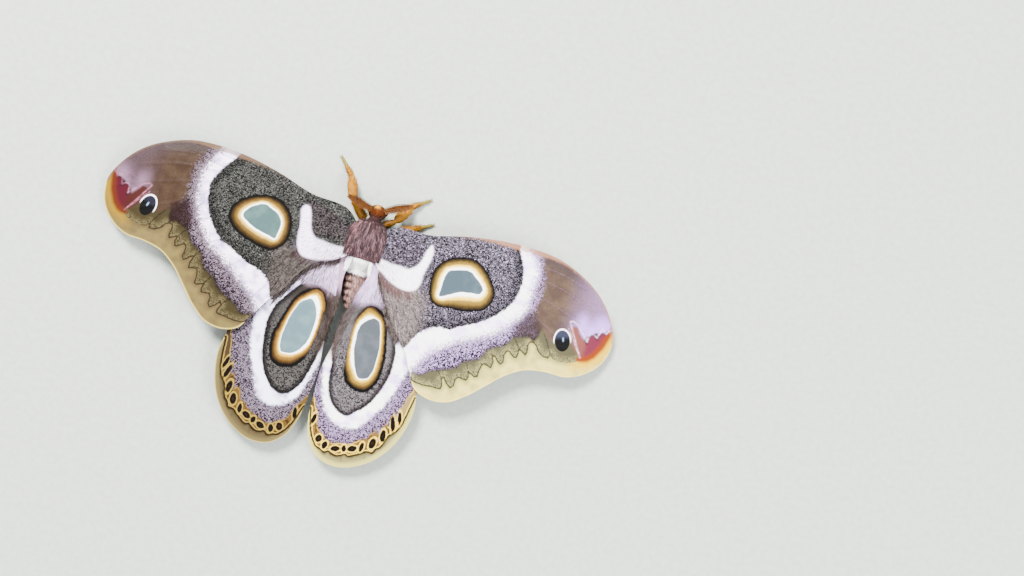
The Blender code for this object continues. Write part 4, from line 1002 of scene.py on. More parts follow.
# %% Hindwing finish
def hindwing_scales(side):
    wing = WingFinish("hindwing", side, 0.14, 2.6)
    fine, broad, streak, hairy = wing.fine, wing.broad, wing.streak, wing.hairy
    out, ahead, rim = map(wing.mark, ("out", "ahead", "rim"))

    # lilac sprinkle, darker to the margin
    salt = fine - wing.mark("band").step(0.5, 4.0) * 0.1 + 0.04
    wing.colour = wing.paint("pepper", "salt", salt.step(0.3, 0.7))
    # the white band and the grey field with its dark rim
    white = wing.paint("white_shade", "white", broad.step(0.3, 0.6))
    wing.lay(white, wing.edge("band", 0.0, 0.4, 1.8))
    on_field = wing.edge("field", 0.0, 0.2, 0.6)
    grain = fine.step(0.26, 0.76)
    grain = grain + (0.62 - grain) * (ahead.step(-22.0, -17.0) * 0.7)
    wing.lay(wing.paint("grey_dark", "grey_light", grain), on_field)
    wing.lay("rim", on_field * wing.moved("field", 0.8).step(-1.3, -0.3) * 0.88)
    # white silk from the root to the window, and brown hair along the inner edge
    silk = wing.paint("silk_dark", "silk", streak.step(0.34, 0.54))
    wing.lay(silk, wing.edge("reach", 9.6, 1.3, 0.6, hairy))
    hair = wing.paint("hair_dark", "hair", streak.step(0.36, 0.62))
    inner = wing.edge("inner", 1.5, 0.9, 0.5, hairy) * ahead.step(-25.0, -21.0)
    wing.lay(hair, inner * wing.mark("reach").step(7.0, 10.0) * 0.9)
    # the window, its outline wide and furry to the root
    halo = (hairy * 0.45 + 0.75) * (ahead.step(-18.0, -12.5) * out.step(10.5, 7.5))
    inward = out.step(6.0, 3.4) * ahead.step(-25.5, -22.0)
    in_pane = wing.window(halo, inward * ahead.step(-13.0, -15.0), inward * 0.34 + 0.02)
    # the margin: gold flames, dark spots in a pale network, a wavy line and cream
    wavy, spot, flames = wing.moved("wavy", 0.4), wing.moved("spot", 0.35), wing.moved("flames", 1.1)
    wing.lay("flame_dark", flames.step(-1.1, 0.0) * fine.step(0.66, 0.44) * 0.75)
    patches = (wing.grain(900, 2) + hairy * 0.12).step(0.48, 0.6)
    flame = wing.paint("flame", "flame_dark", patches * 0.75)
    flame = wing.paint(flame, "end", ahead.step(-32.0, -28.5) * out.step(12.0, 14.0))
    network = spot.near(0.24, 0.09, 0.07).larger(wavy.near(-0.36, 0.08, 0.08))
    edge_line = wing.moved("flames", 0.5).near(0.1, 0.06, 0.08) * broad.step(0.35, 0.6)
    flame = wing.paint(flame, "network", network.larger(edge_line))
    wing.lay(flame, flames.step(-0.25, 0.15))
    core = wing.paint(tint(14, 5, 5), tint(83, 44, 9), spot.step(-0.15, -0.45))
    wing.lay(core, spot.step(0.16, 0.02))
    cream = wing.paint("rib", "cream", wavy.step(0.1, 0.7))
    cream = wing.paint(cream, "cream_light", rim.step(1.3, 0.4))
    cream = wing.paint(cream, "rib", wing.mark("vein").step(0.4, 0.05) * 0.5)
    cream = wing.paint(cream, tint(231, 226, 177), rim.step(0.26, 0.08) * 0.45)
    wing.lay(cream, wavy.step(-0.1, 0.1))
    wing.lay("line", wavy.near(-0.04, 0.17, 0.09) * 0.92)
    return wing.sheen(in_pane, 0.76)


print("hindwing finish ready")

# %% [markdown]
# ## The four wings
# The wings are made in one loop from their outlines, veins, marks and finishes. The left ones use
# the lists of the right ones, placed in a hold of their own. Four separate lists would be longer,
# and the two sides would stop matching.

# %% Make the four wings
def dress(piece, material, slot, *nodes):
    """Give a piece its finish, let it ride, and hide the solids it stands for. The slot is not used."""
    piece.data.materials.append(material)
    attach(piece, "root")
    if nodes:
        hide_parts(*nodes)


PAIRS = {"forewing": (FOREWING_EDGE, FOREWING_VEINS, 0.0, mark_forewing, forewing_scales),
         "hindwing": (HINDWING_EDGE, HINDWING_VEINS, HINDWING_DROP, mark_hindwing, hindwing_scales)}
wings = {}
SHOWN_EDGES = {}
for side in ("right", "left"):
    for pair, (edge_points, veins, drop, measure, scales) in PAIRS.items():
        name = pair + "_" + side
        shown_edge = np.vstack([placed(edge_points, pair, side), WING_ROOTS[name]])
        SHOWN_EDGES[name] = rounded(shown_edge, steps=3)
        outline = rounded(shown_edge)
        sheet = wing_sheet("painted_" + name, outline)
        spots = spots_of(sheet)[:, :2]
        measure(sheet, spots, side)
        write_mark(sheet, "rim", nearest(spots, np.vstack([outline, outline[:1]]))[0])
        raise_wing(sheet, [placed(vein, pair, side) for vein in veins], drop)
        dress(sheet, scales(side), pair + "_scales", name)
        wings[name] = sheet
        print(sheet.name, len(sheet.data.polygons), "faces")

# %% [markdown]
# ## The body under its coat
# Thorax, head, palps and abdomen are one skin, as on the living moth. Separate balls would show
# creases where they meet, so they are joined and remeshed to one closed surface. The skin
# lies inside the solids by the depth of the coat, and the coat fills the rest.

# %% Tools for the body
def egg(name, centre, radii):
    bpy.ops.mesh.primitive_uv_sphere_add(segments=40, ring_count=24, radius=MM,
                                         location=[v * MM for v in centre],
                                         rotation=(math.radians(90), 0, 0))
    piece = bpy.context.object
    piece.name = name
    piece.scale = (radii[0], radii[2], radii[1])
    settle()
    return piece


def swept(name, points, radii, sides=3):
    """A round tube along a chain of points, thicker or thinner at each."""
    bpy.ops.curve.primitive_bezier_curve_add(location=(0, 0, 0))
    guide = bpy.context.object
    guide.name = name
    guide.data.splines.clear()
    spline = guide.data.splines.new("POLY")
    spline.points.add(len(points) - 1)
    for knot, point, radius in zip(spline.points, points, radii):
        knot.co = (point[0] * MM, point[1] * MM, point[2] * MM, 1.0)
        knot.radius = radius
    guide.data.dimensions = "3D"
    guide.data.bevel_depth = MM
    guide.data.bevel_resolution = sides
    guide.data.use_fill_caps = True
    bpy.ops.object.convert(target="MESH")
    piece = bpy.context.object
    settle()
    in_edit_mode(lambda: bpy.ops.mesh.remove_doubles(threshold=1e-6))
    return piece


def joined(name, pieces):
    bpy.ops.object.select_all(action="DESELECT")
    for piece in pieces:
        piece.select_set(True)
    bpy.context.view_layer.objects.active = pieces[0]
    bpy.ops.object.join()
    pieces[0].name = name
    return pieces[0]


THORAX_CENTRE = np.array((0.0, -0.4, 3.75))
THORAX_RADII = np.array((3.25, 4.65, 3.7))
SHOULDERS = [(np.array((side * 1.75, 2.3, 4.1)), np.array((1.15, 1.5, 1.7))) for side in (-1, 1)]
HEAD_CENTRE = np.array((0.4, 5.5, 3.3))
HEAD_RADII = np.array((1.5, 1.35, 1.6))
PALP_CENTRES = {side: np.array((0.4 + flip * 0.42, 6.4, 2.0)) for side, flip in FLIP.items()}
PALP_RADII = np.array((0.34, 0.66, 0.36))
ABDOMEN_START = np.array((-0.35, -4.3, 2.35))
ABDOMEN_LENGTH = 9.3
ABDOMEN_WAY = np.array((math.sin(math.radians(5.0)), -math.cos(math.radians(5.0)), 0.0))
ABDOMEN_SIDE = np.array((-ABDOMEN_WAY[1], ABDOMEN_WAY[0], 0.0))
ABDOMEN_FLATTENED = 0.84
RING_COUNT = 7
UP = np.array((0, 0, 1.0))


def abdomen_radius(share):
    """Radius of the abdomen's skin along its length, with a groove between rings."""
    share = np.asarray(share, float)
    swell = 0.45 + 0.55 * np.sin(math.pi / 2 * np.minimum(share / 0.3, 1))
    fall = np.sqrt(np.maximum(1 - (np.maximum(share - 0.3, 0) / 0.7) ** 2.2, 0))
    groove = 0.12 * np.abs(np.cos(math.pi * share * RING_COUNT)) ** 6
    return np.maximum(2.3 * swell * fall - groove, 0.02)


print("body sizes ready")

# %% [markdown]
# ## One skin
# Eggs for the thorax, shoulders, head and palps, a neck and a tube for the abdomen are joined,
# remeshed at 0.16 mm and smoothed, so that no seam is left.

# %% The body's skin
thorax = egg("thorax_skin", THORAX_CENTRE, THORAX_RADII)
shoulders = [egg("shoulder_skin", centre, radii) for centre, radii in SHOULDERS]
head = egg("head_skin", HEAD_CENTRE, HEAD_RADII)
neck = swept("neck", [(0.2, 3.0, 3.6), (0.3, 4.2, 3.5), (0.4, 5.0, 3.4)], [1.6, 1.2, 1.2])
shares = np.linspace(0, 1, 57)
abdomen_line = [ABDOMEN_START + ABDOMEN_WAY * ABDOMEN_LENGTH * share for share in shares]
abdomen = swept("abdomen_skin", abdomen_line, abdomen_radius(shares), sides=6)
spots = spots_of(abdomen)
middle = ABDOMEN_START[2] * MM
spots[:, 2] = (spots[:, 2] - middle) * ABDOMEN_FLATTENED + middle
move_spots(abdomen, spots)
palps = [egg("palp", centre, PALP_RADII) for centre in PALP_CENTRES.values()]
skin = joined("body_skin", [thorax, head, neck, abdomen] + shoulders + palps)
skin.data.remesh_voxel_size = 0.16 * MM
bpy.ops.object.voxel_remesh()
smoother = skin.modifiers.new("smoother", "SMOOTH")
smoother.iterations = 4
bpy.ops.object.modifier_apply(modifier=smoother.name)
bpy.ops.object.shade_smooth()
print("skin faces:", len(skin.data.polygons))

# %% [markdown]
# ## Combing a coat
# Each hair tuft is a thin closed blade: three flat sections and a point. It starts in the skin,
# lies along the body and overlaps the next. Particle hair would look as good here, but it is
# lost when a model is handed on, so every tuft is real mesh.
# Skin and tufts share one finish. It reads each tuft's root, so a ring or band has the same
# colour on the skin and on the hair over it.

# %% A comb for tufts
draw = np.random.default_rng(11)
BLADE_SPOTS = 10  # vertices of a tuft: three sections of three, and its point


def drawn(span, count):
    """A number for each tuft, drawn from a range unless it is given already."""
    return draw.uniform(*span, count) if isinstance(span, tuple) else span


def strewn(x_span, y_span, count, height=0.0):
    """Places strewn over a rectangle."""
    return np.stack([draw.uniform(*x_span, count), draw.uniform(*y_span, count),
                     np.full(count, height)], 1)


def write_root(piece, roots):
    root = piece.data.attributes.new("root", "FLOAT_VECTOR", "POINT")
    root.data.foreach_set("vector", roots.astype(np.float32).ravel())


def own_root(piece, shade):
    """Let a bare surface take its colour from its own places, as its hair does."""
    spots = spots_of(piece) / MM
    write_root(piece, spots)
    write_mark(piece, "shade", shade + np.zeros(len(spots)))


def comb(name, paths, widths, shade, unwrap, material, slot, ups=UP):
    """One piece of many blades. paths holds four places for each tuft, from root to tip."""
    count = len(paths)
    widths = drawn(widths, count)
    shade = drawn(shade, count)
    ahead = np.gradient(paths, axis=1)
    side = unit(np.cross(ahead, np.broadcast_to(ups, (count, 3))[:, None, :]))
    above = unit(np.cross(side, ahead))
    half = widths[:, None, None] * np.array((0.42, 0.5, 0.36, 0.0))[None, :, None]
    left = paths - side * half
    right = paths + side * half
    ridge = paths + above * (half * 0.55)
    spots = np.concatenate([left[:, :3], right[:, :3], ridge[:, :3], paths[:, 3:]], axis=1)
    first = (np.arange(count) * BLADE_SPOTS)[:, None, None]
    quads = [(a + k, b + k, b + k + 1, a + k + 1) for k in (0, 1) for a, b in ((0, 3), (3, 6), (6, 0))]
    ends = [(2, 5, 9), (5, 8, 9), (8, 2, 9), (0, 6, 3)]
    quads = (np.array(quads)[None] + first).reshape(-1, 4)
    ends = (np.array(ends)[None] + first).reshape(-1, 3)
    mesh = bpy.data.meshes.new(name)
    mesh.from_pydata((spots.reshape(-1, 3) * MM).tolist(), [], quads.tolist() + ends.tolist())
    coat = bpy.data.objects.new(name, mesh)
    bpy.context.scene.collection.objects.link(coat)
    write_root(coat, np.repeat(paths[:, 0], BLADE_SPOTS, axis=0))
    write_mark(coat, "shade", np.repeat(shade, BLADE_SPOTS))
    at_root = np.repeat(unwrap(paths[:, 0]), BLADE_SPOTS, axis=0)
    patch = np.array([(-1, 0), (-1, .5), (-1, 1), (1, 0), (1, .5), (1, 1), (0, 0), (0, .5),
                      (0, 1), (0, 1.4)]) * (0.0012, 0.002)
    at_spot = at_root * 0.99 + 0.004 + np.tile(patch, (count, 1))
    corners = np.zeros(len(mesh.loops), int)
    mesh.loops.foreach_get("vertex_index", corners)
    layer = mesh.uv_layers.new(name="OFBake")
    layer.data.foreach_set("uv", at_spot[corners].ravel())
    only(coat)
    in_edit_mode()
    bpy.ops.object.shade_smooth_by_angle(angle=math.radians(60))
    dress(coat, material, slot)
    print(name, count, "tufts")
    return coat


def round_body(roots):
    """The body rolled out: round its length, and along it."""
    around = np.arctan2(roots[:, 0], roots[:, 2] - 3.0) / (2 * math.pi) + 0.5
    return np.stack([around, (roots[:, 1] + 14.5) / 23.0], 1)


def flat_wing(roots):
    """A wing is flat, so its own plan is its unwrap."""
    return np.stack([(roots[:, 0] + 52) / 104, (roots[:, 1] + 44) / 60], 1)


def on_egg(places, centre, radii, lift):
    """Places pushed onto an egg, a little above its skin."""
    reach = unit((places - centre) / radii)
    up = unit(reach / radii)
    return centre + reach * radii + up * lift[:, None], up


print("comb ready")

# %% [markdown]
# ## The colours of the body
# A tuft has one root and one shade from 0 to 1. The painters below turn these into mauve
# streaks, a white band, dark marked rings and an amber head. A painted texture would need one
# unwrap for all the coats, while the root's place needs none.

# %% Finishes of skin and coats
def body_coat(name, painter, rough=0.7):
    """A coat's finish: the painter gives the colour from the root's place, in millimetres."""
    coat = Finish(name)
    parts = coat.node("SeparateXYZ", {0: coat.mark("root", "Vector")})
    coat.shader.inputs["Specular IOR Level"].default_value = 0.12
    coat.bump(coat.grain(3800, 2, 0.6), 0.25, 0.00006)
    colour = painter(coat, coat.mark("shade"), *[Value(coat, part) for part in parts])
    return coat.finish(colour, rough)


def two_tones(dark, light, start, end):
    """A painter that goes from a dark tone to a light one by the shade of each tuft."""
    return lambda coat, shade, x, y, z: coat.paint(tint(*dark), tint(*light), shade.step(start, end))


def paint_thorax(coat, shade, x, y, wander):
    """Streaks of mauve, pinkish brown and dark, and a pale tuft on the left shoulder."""
    mauve = coat.paint(tint(45, 17, 25), tint(127, 100, 105), shade.step(0.14, 0.5))
    mauve = coat.paint(mauve, tint(206, 181, 186), shade.step(0.5, 0.85))
    mauve = coat.paint(mauve, tint(137, 90, 83), wander.step(0.5, 0.62) * 0.4)
    tuft = x.near(-2.2, 0.5, 0.5) * y.near(3.0, 0.5, 0.6)
    return coat.paint(mauve, tint(218, 192, 194), tuft * shade.step(0.1, 0.5))


def paint_abdomen(coat, shade, x, y, wander):
    """A white band, a dark line, and pinkish rings with dark marks on their left."""
    ring = (-4.3 - y) * (RING_COUNT / ABDOMEN_LENGTH)
    ring = ring.sum("FRACT", ring)
    rings = coat.paint(tint(174, 145, 143), tint(226, 211, 206), shade.step(0.1, 0.9))
    rings = coat.paint(rings, tint(137, 102, 99), ring.step(0.6, 0.85) * 0.55)
    rings = coat.paint(rings, tint(27, 5, 5), ring.step(0.42, 0.66) * x.step(-0.1, -0.8) * 0.9)
    white = coat.paint(tint(226, 221, 230), tint(241, 241, 240), shade.step(0.0, 0.4))
    front = y + (wander - 0.5) * 0.8
    rings = coat.paint(rings, white, front.step(-6.35, -6.15))
    return coat.paint(rings, tint(99, 62, 63), front.near(-6.5, 0.1, 0.16) * 0.9)


def paint_body(coat, shade, x, y, z):
    wander = coat.grain(0.9, 2, at=coat.mark("root", "Vector"))
    amber = coat.paint(tint(100, 31, 5), tint(187, 113, 9), shade)
    colour = coat.paint(paint_thorax(coat, shade, x, y, wander), amber, y.step(4.2, 4.7))
    # a pale tuft on the upper front of the head, made paler as a painted highlight
    head_top_tuft_and_highlight = x.near(0.1, 0.6, 0.4) * y.step(5.3, 5.8) * z.step(2.6, 3.4)
    colour = coat.paint(colour, tint(235, 220, 99), head_top_tuft_and_highlight)
    colour = coat.paint(colour, tint(112, 57, 45), y.near(4.15, 0.1, 0.3) * 0.5)
    behind = y + (wander - 0.5) * 1.4
    return coat.paint(colour, paint_abdomen(coat, shade, x, y, wander), behind.step(-3.1, -3.5))


coat_finish = body_coat("body_hair", paint_body)
own_root(skin, draw.uniform(0.0, 0.4, len(skin.data.vertices)))
skin.data.materials.clear()
dress(skin, coat_finish, "body_hair", "thorax", "head", "abdomen", "palp_left", "palp_right")
print("body finish ready")

# %% [markdown]
# ## The thorax's long hair
# The longest hair of the moth streams from the thorax over the wing roots and the front of the
# abdomen. Each tuft follows the body back, and where it leaves the body it rests on the wing.

# %% Hair of the thorax
def body_level(x, y):
    """Height of the thorax or a shoulder at a place, and 0 beside them."""
    level = np.zeros(len(x))
    for centre, radii in [(THORAX_CENTRE, THORAX_RADII)] + SHOULDERS:
        rest = 1 - ((x - centre[0]) / radii[0]) ** 2 - ((y - centre[1]) / radii[1]) ** 2
        dome = centre[2] + radii[2] * np.sqrt(np.maximum(rest, 0))
        level = np.maximum(level, np.where(rest > 0, dome, 0))
    return level


def ground(places):
    """Height of what lies under a hair: forewing, hindwing, body, or nothing."""
    x, y = places[:, 0], places[:, 1]
    along = (places - ABDOMEN_START) @ ABDOMEN_WAY / ABDOMEN_LENGTH
    across = (places - ABDOMEN_START) @ ABDOMEN_SIDE
    radius = abdomen_radius(np.clip(along, 0, 1)) * ((along > 0) & (along < 1))
    hump = ABDOMEN_START[2] + ABDOMEN_FLATTENED * np.sqrt(np.maximum(radius ** 2 - across ** 2, 0))
    level = np.maximum(body_level(x, y), np.where(radius > np.abs(across), hump, 2.5))
    for name, edge_line in SHOWN_EDGES.items():
        drop = PAIRS[name.split("_")[0]][2]
        top = wing_height(x, y) - drop + SHEET / 2 + 0.04
        level = np.where(inside(places[:, :2], edge_line), np.maximum(level, top), level)
    return level


def lay_back(roots, headings, lengths, lifts, bend=0.75, wave=0.0):
    """Paths that run back over whatever lies under them, waving a little."""
    lengths = drawn(lengths, len(roots))
    lifts = drawn(lifts, len(roots))
    paths = [roots - (0, 0, 0.15)]
    place = roots.copy()
    turn = headings.copy()
    for k in range(3):
        step = (lengths / 3)[:, None] * np.stack([np.sin(turn), -np.cos(turn), 0 * turn], 1)
        place = place + step
        turn = turn * bend + draw.normal(0, wave, len(turn))
        level = ground(place) + lifts * (k + 1) / 3
        place[:, 2] = np.maximum(level, place[:, 2] - lengths * 0.35)
        paths.append(place.copy())
    return np.stack(paths, 1)


def gathered(paths, span, locks, pull=0.6):
    """Draw tufts together into locks, most at the tips, each lock with a shade of its own."""
    shade = drawn(span, len(paths))
    leaders = draw.integers(0, len(paths), locks)
    away = np.linalg.norm(paths[:, None, 0] - paths[None, leaders, 0], axis=2)
    own = leaders[np.argmin(away, axis=1)]
    locked = paths.copy()
    for k in (1, 2, 3):
        locked[:, k] += (paths[own, k] - paths[:, k]) * pull * (0.1 + 0.25 * k)
    return locked, shade * 0.5 + shade[own] * 0.5


roots = strewn((-2.9, 2.6), (-3.3, 4.1), 12900)
roots[:, 2] = body_level(roots[:, 0], roots[:, 1])
roots = roots[roots[:, 2] > 4.4]
count = len(roots)
ahead = np.clip((roots[:, 1] - 0.3) / 3.2, 0, 1)
headings = (0.03 + 0.2 * ahead) * roots[:, 0] + draw.normal(0, 0.07, count)
lengths = draw.uniform(2.2, 4.6, count) * (1 - 0.19 * ahead * np.abs(roots[:, 0]))
lengths = np.minimum(lengths, np.maximum(roots[:, 1] + 3.9, 0.6) * draw.uniform(0.85, 1.05, count))
paths, shade = gathered(lay_back(roots, headings, lengths, (0.05, 0.6), 0.7, 0.16), (0, 1), 520)
comb("thorax_hair", paths, (0.06, 0.11), shade, round_body, coat_finish, "body_hair")

# %% [markdown]
# ## Wisps and the white collar
# Two thin coats blend what lies side by side: wisps from each shoulder soften the step down to the
# wing, and bright white hair fills the dip where the abdomen leaves the thorax. Both use the
# thorax's own combing, with other roots, lengths and headings.

# %% Wisps that run from the shoulders out over the wings
count = 1300
side = draw.choice((-1.0, 1.0), count)
sideways = side * draw.uniform(2.3, 3.2, count) - 0.2
roots = np.stack([sideways, draw.uniform(-2.6, 2.6, count), 0 * sideways], 1)
roots[:, 2] = np.maximum(ground(roots), 4.6)
headings = side * draw.uniform(0.1, 0.75, count)
paths, shade = gathered(lay_back(roots, headings, (0.8, 2.1), (0.05, 0.4), 0.85, 0.1), (0, 0.8), 160)
comb("shoulder_wisps", paths, (0.05, 0.09), shade, round_body, coat_finish, "body_hair")

# %% White hair over the front of the abdomen
count = 2400
roots = strewn((-2.3, 1.8), (-5.7, -3.4), count, 4.4)
roots[:, 2] = np.maximum(ground(roots), 4.2)
headings = 0.3 * (roots[:, 0] + 0.35) + draw.normal(0, 0.08, count)
raised = np.clip((roots[:, 1] + 5.4) / 1.6, 0, 1) * np.clip(1.5 - np.abs(roots[:, 0] + 0.3) * 0.7, 0, 1)
lifts = draw.uniform(0.1, 0.5, count) + raised * draw.uniform(0.3, 1.3, count)
paths = lay_back(roots, headings, draw.uniform(0.8, 1.3, count) * (1 + 0.3 * raised), lifts, 0.8, 0.1)
comb("white_collar", paths, (0.06, 0.11), (0.2, 1), round_body, coat_finish, "abdomen_hair")

# %% [markdown]
# ## Short fur
# The head and palps wear short fur that lies close. Its roots are strewn over an egg, and each of
# a tuft's four places is set back over that egg, so that the tuft follows the body. The fur of
# the thorax's sides and underside lies so flat that most of it is inside the skin.

# %% Short hair under the wings, on the belly, head and palps
def fur(name, count, centre, radii, length, width, lift, keep, slot, back_to):
    """Short tufts all over an egg, combed to one way."""
    roots = centre + unit(draw.normal(0, 1, (count, 3))) * radii
    roots = roots[keep(roots)]
    count = len(roots)
    lengths = draw.uniform(0.7, 1.2, count) * length
    comb_to = np.array(back_to) + draw.normal(0, 0.16, (count, 3))
    paths = []
    place = roots.copy()
    for k in range(4):
        foot, up = on_egg(place, centre, radii, np.full(count, -0.08 + lift * k / 3) * lengths / length)
        paths.append(foot)
        along = unit(comb_to - up * np.sum(comb_to * up, axis=1, keepdims=True))
        place = foot + along * (lengths / 3)[:, None]
    paths = np.stack(paths, 1)
    paths[:, :, 2] = np.maximum(paths[:, :, 2], 0.06)
    comb(name, paths, draw.uniform(0.7, 1.3, count) * width, (0, 1), round_body, coat_finish, slot, up)


fur("side_hair", 4200, THORAX_CENTRE, THORAX_RADII, 1.2, 0.13, 0.08,
    lambda r: (r[:, 2] < 6.3) | (r[:, 1] > 3.0), "body_hair", (0, -1, 0))
fur("head_fur", 3600, HEAD_CENTRE, HEAD_RADII, 0.95, 0.1, 0.3,
    lambda r: np.abs(r[:, 0] - 0.4) < 1.6, "head_hair", (0, 1, 0.3))
for side, centre in PALP_CENTRES.items():
    fur("palp_fur_" + side, 260, centre, PALP_RADII, 0.4, 0.08, 0.1,
        lambda r: r[:, 1] > 6.0, "head_hair", (0, 1, 0))

# %% [markdown]
# ## The abdomen's rings
# The abdomen's fur lies along it. A tuft starts at its own share of the length and its own angle
# round the tube, and stands wider at the front, under the white hair. The rings are colours only.

# %% Hair of the abdomen
count = 4500
share = draw.uniform(0.0, 0.97, count)
angle = draw.uniform(-math.pi, math.pi, count)
lengths = draw.uniform(0.55, 0.9, count) * (1.1 - 0.35 * share)
paths = []
for k in range(4):
    here = np.minimum(share + lengths * k / 3 / ABDOMEN_LENGTH, 1.06)
    radius = abdomen_radius(np.minimum(here, 0.995)) * (here < 1.02) + 0.02
    collar = np.clip((0.27 - here) / 0.06, 0, 1) * np.abs(np.sin(angle))
    radius = np.maximum(radius, 0.25 * (1.06 - here)) - 0.06 + (0.24 + 0.8 * collar) * k / 3
    side_reach = np.sin(angle) * radius
    height = np.cos(angle) * radius * ABDOMEN_FLATTENED
    paths.append(ABDOMEN_START + ABDOMEN_WAY * (here * ABDOMEN_LENGTH)[:, None]
                 + ABDOMEN_SIDE * side_reach[:, None] + UP * height[:, None])
ups = ABDOMEN_SIDE * np.sin(angle)[:, None] + UP * np.cos(angle)[:, None]
comb("abdomen_fur", np.stack(paths, 1), (0.08, 0.14), (0, 1), round_body, coat_finish,
     "abdomen_hair", ups)

# %% [markdown]
# ## Silk and down on the wings
# Fine white silk lies flat on the hindwings beside the abdomen, and grey-brown down covers the
# forewings behind the bar and frays the hindwings' inner edges. The down carries the wing's own
# marks, read at its roots, so the pattern runs on through it.

# %% Silk beside the abdomen
silk_finish = body_coat("wing_silk", two_tones((123, 105, 108), (234, 229, 236), 0.0, 0.62), 0.5)
SILK_EDGE = {"left": ((-4.5, -2.6), (-3.1, -9.4)), "right": ((4.1, -2.4), (2.5, -9.4))}
STRANDS = 9000
for side, flip in FLIP.items():
    (start_x, start_y), (end_x, end_y) = SILK_EDGE[side]
    back = draw.uniform(0.05, 1, STRANDS)
    out = draw.uniform(0, 1, STRANDS) ** 1.2
    roots = np.stack([start_x + (end_x - start_x) * back + flip * out * 6.0,
                      start_y + (end_y - start_y) * back, 0 * back], 1)
    free = inside(roots[:, :2], SHOWN_EDGES["hindwing_" + side])
    free &= ~inside(roots[:, :2], SHOWN_EDGES["forewing_" + side])
    room = to_loop(roots[:, :2], HIND_WINDOW[side]) - 0.5
    free &= room > 0.7
    roots, out, room = roots[free], out[free], room[free]
    count = len(roots)
    roots[:, 2] = ground(roots)
    headings = flip * (0.5 * out - 0.14) + draw.normal(0, 0.05, count)
    lengths = np.minimum(draw.uniform(1.5, 3.2, count), room)
    paths = lay_back(roots, headings, lengths, (0.02, 0.14), 1.0)
    comb("silk_" + side, paths, draw.uniform(0.04, 0.08, count),
         draw.uniform(0, 1, count) ** (0.7 + 2.6 * out), flat_wing, silk_finish, "body_hair")

# %% Down on the forewings and the hindwings' inner edges
def laid_hair(name, places, headings, lengths, lifts, material, slot):
    """Fine hair that lies on a wing, as one coat."""
    roots = np.column_stack([places, np.zeros(len(places))])
    roots[:, 2] = ground(roots)
    paths = lay_back(roots, headings, lengths, lifts, 1.0, 0.06)
    return comb(name, paths, (0.05, 0.09), (0, 1), flat_wing, material, slot)


def down(pair, side, places, headings, lengths):
    """Fine hair on a wing, in the wing's own finish."""
    material = wings[pair + "_" + side].data.materials[0]
    coat = laid_hair("down_" + pair + "_" + side, places, headings, lengths, (0.03, 0.16), material,
                     pair + "_scales")
    measure = PAIRS[pair][3]
    measure(coat, np.repeat(places, BLADE_SPOTS, axis=0), side)
    for far_name in ("vein", "rim"):
        write_mark(coat, far_name, np.full(len(places) * BLADE_SPOTS, 9.0))


fringe_finish = body_coat("wing_fringe", two_tones((80, 57, 51), (181, 168, 163), 0.1, 1.0), 0.5)
FRINGE_LENGTH = {"left": 2.0, "right": 1.3}
FRINGE_END = {"left": 13.5, "right": 10.5}
for side, flip in FLIP.items():
    over, under = SHOWN_EDGES["forewing_" + side], SHOWN_EDGES["hindwing_" + side]
    chart = strewn((2.5, 15.5), (-17.5, -3.5), STRANDS)[:, :2]
    shown = placed(chart, "forewing", side)
    kept = inside(shown, over) & (to_loop(shown, BAR[side]) > 0.2)
    kept &= (chart[:, 1] < -4.2) & (to_loop(shown, WINDOW[side]) > 1.2)
    kept &= past_line(shown, BAND_INNER[side], BAND_FAR * (flip, 1)) < -0.8
    chart, shown = chart[kept], shown[kept]
    headings = flip * np.arctan2(chart[:, 0] - 2.0, 1.0 - chart[:, 1]) * 0.85
    headings += draw.normal(0, 0.1, len(chart))
    down("forewing", side, shown, headings, (0.8, 1.7))

    place = over[draw.integers(0, len(over), STRANDS)] + draw.normal(0, 0.3, (STRANDS, 2))
    place = place + draw.uniform(-0.8, 0.0, (STRANDS, 1)) * (0, 1)
    kept = ~inside(place - (0, 0.5), over) & inside(place - (0, 0.5), under)
    kept &= (np.abs(place[:, 0]) > 3.6) & (np.abs(place[:, 0]) < FRINGE_END[side])
    laid_hair("fold_fringe_" + side, place[kept], flip * draw.normal(0.55, 0.14, kept.sum()),
              (0.7, FRINGE_LENGTH[side]), (0.03, 0.2), fringe_finish, "forewing_scales")

    line = rounded(HIND_INNER, False)
    place = line[draw.integers(1, len(line) - 8, 1500)] + draw.uniform(0, 1.3, (1500, 1)) * (1, 0)
    shown = placed(place + draw.normal(0, 0.12, (1500, 2)), "hindwing", side)
    shown = shown[inside(shown, under)]
    down("hindwing", side, shown, draw.normal(-flip * 0.38, 0.16, len(shown)), (0.7, 1.6))

# %% [markdown]
# ## Eyes
# A moth's eye is a ball of many small lenses. The ball is an icosphere, whose faces are all
# about the same size, and the lenses are a fine pattern of cells in its finish.

# %% Compound eyes
eye_finish = Finish("eye_facets")
cells = eye_finish.node("TexVoronoi", {"Scale": 11000, "Vector": eye_finish.place()})
eye_colour = eye_finish.paint(tint(22, 12, 10), tint(64, 38, 26), eye_finish.grain(1800, 2))
eye_finish.bump(Value(eye_finish, cells["Distance"]), 0.3, 0.00003)
eye_finish.shader.inputs["Coat Weight"].default_value = 0.6
eye_finish.finish(eye_colour, 0.22)
for side, flip in FLIP.items():
    bpy.ops.mesh.primitive_ico_sphere_add(
        subdivisions=5, radius=0.78 * MM,
        location=((0.4 + flip * 1.35) * MM, 5.9 * MM, 2.9 * MM))
    eye = bpy.context.object
    eye.name = "lens_ball_" + side
    settle()
    bpy.ops.object.shade_smooth()
    dress(eye, eye_finish.material, "eye_facets", "eye_" + side)
print("two eyes")

# %% [markdown]
# ## Antennae
# The antenna is a feather: a shaft of many short joints, with two pairs of fine branches on
# each. The branches are blades from the same comb, set in rows along the shaft.

# %% Feathered antennae
def paint_feather(coat, shade, x, y, z):
    return coat.paint(tint(100, 42, 5), tint(185, 131, 22), shade)


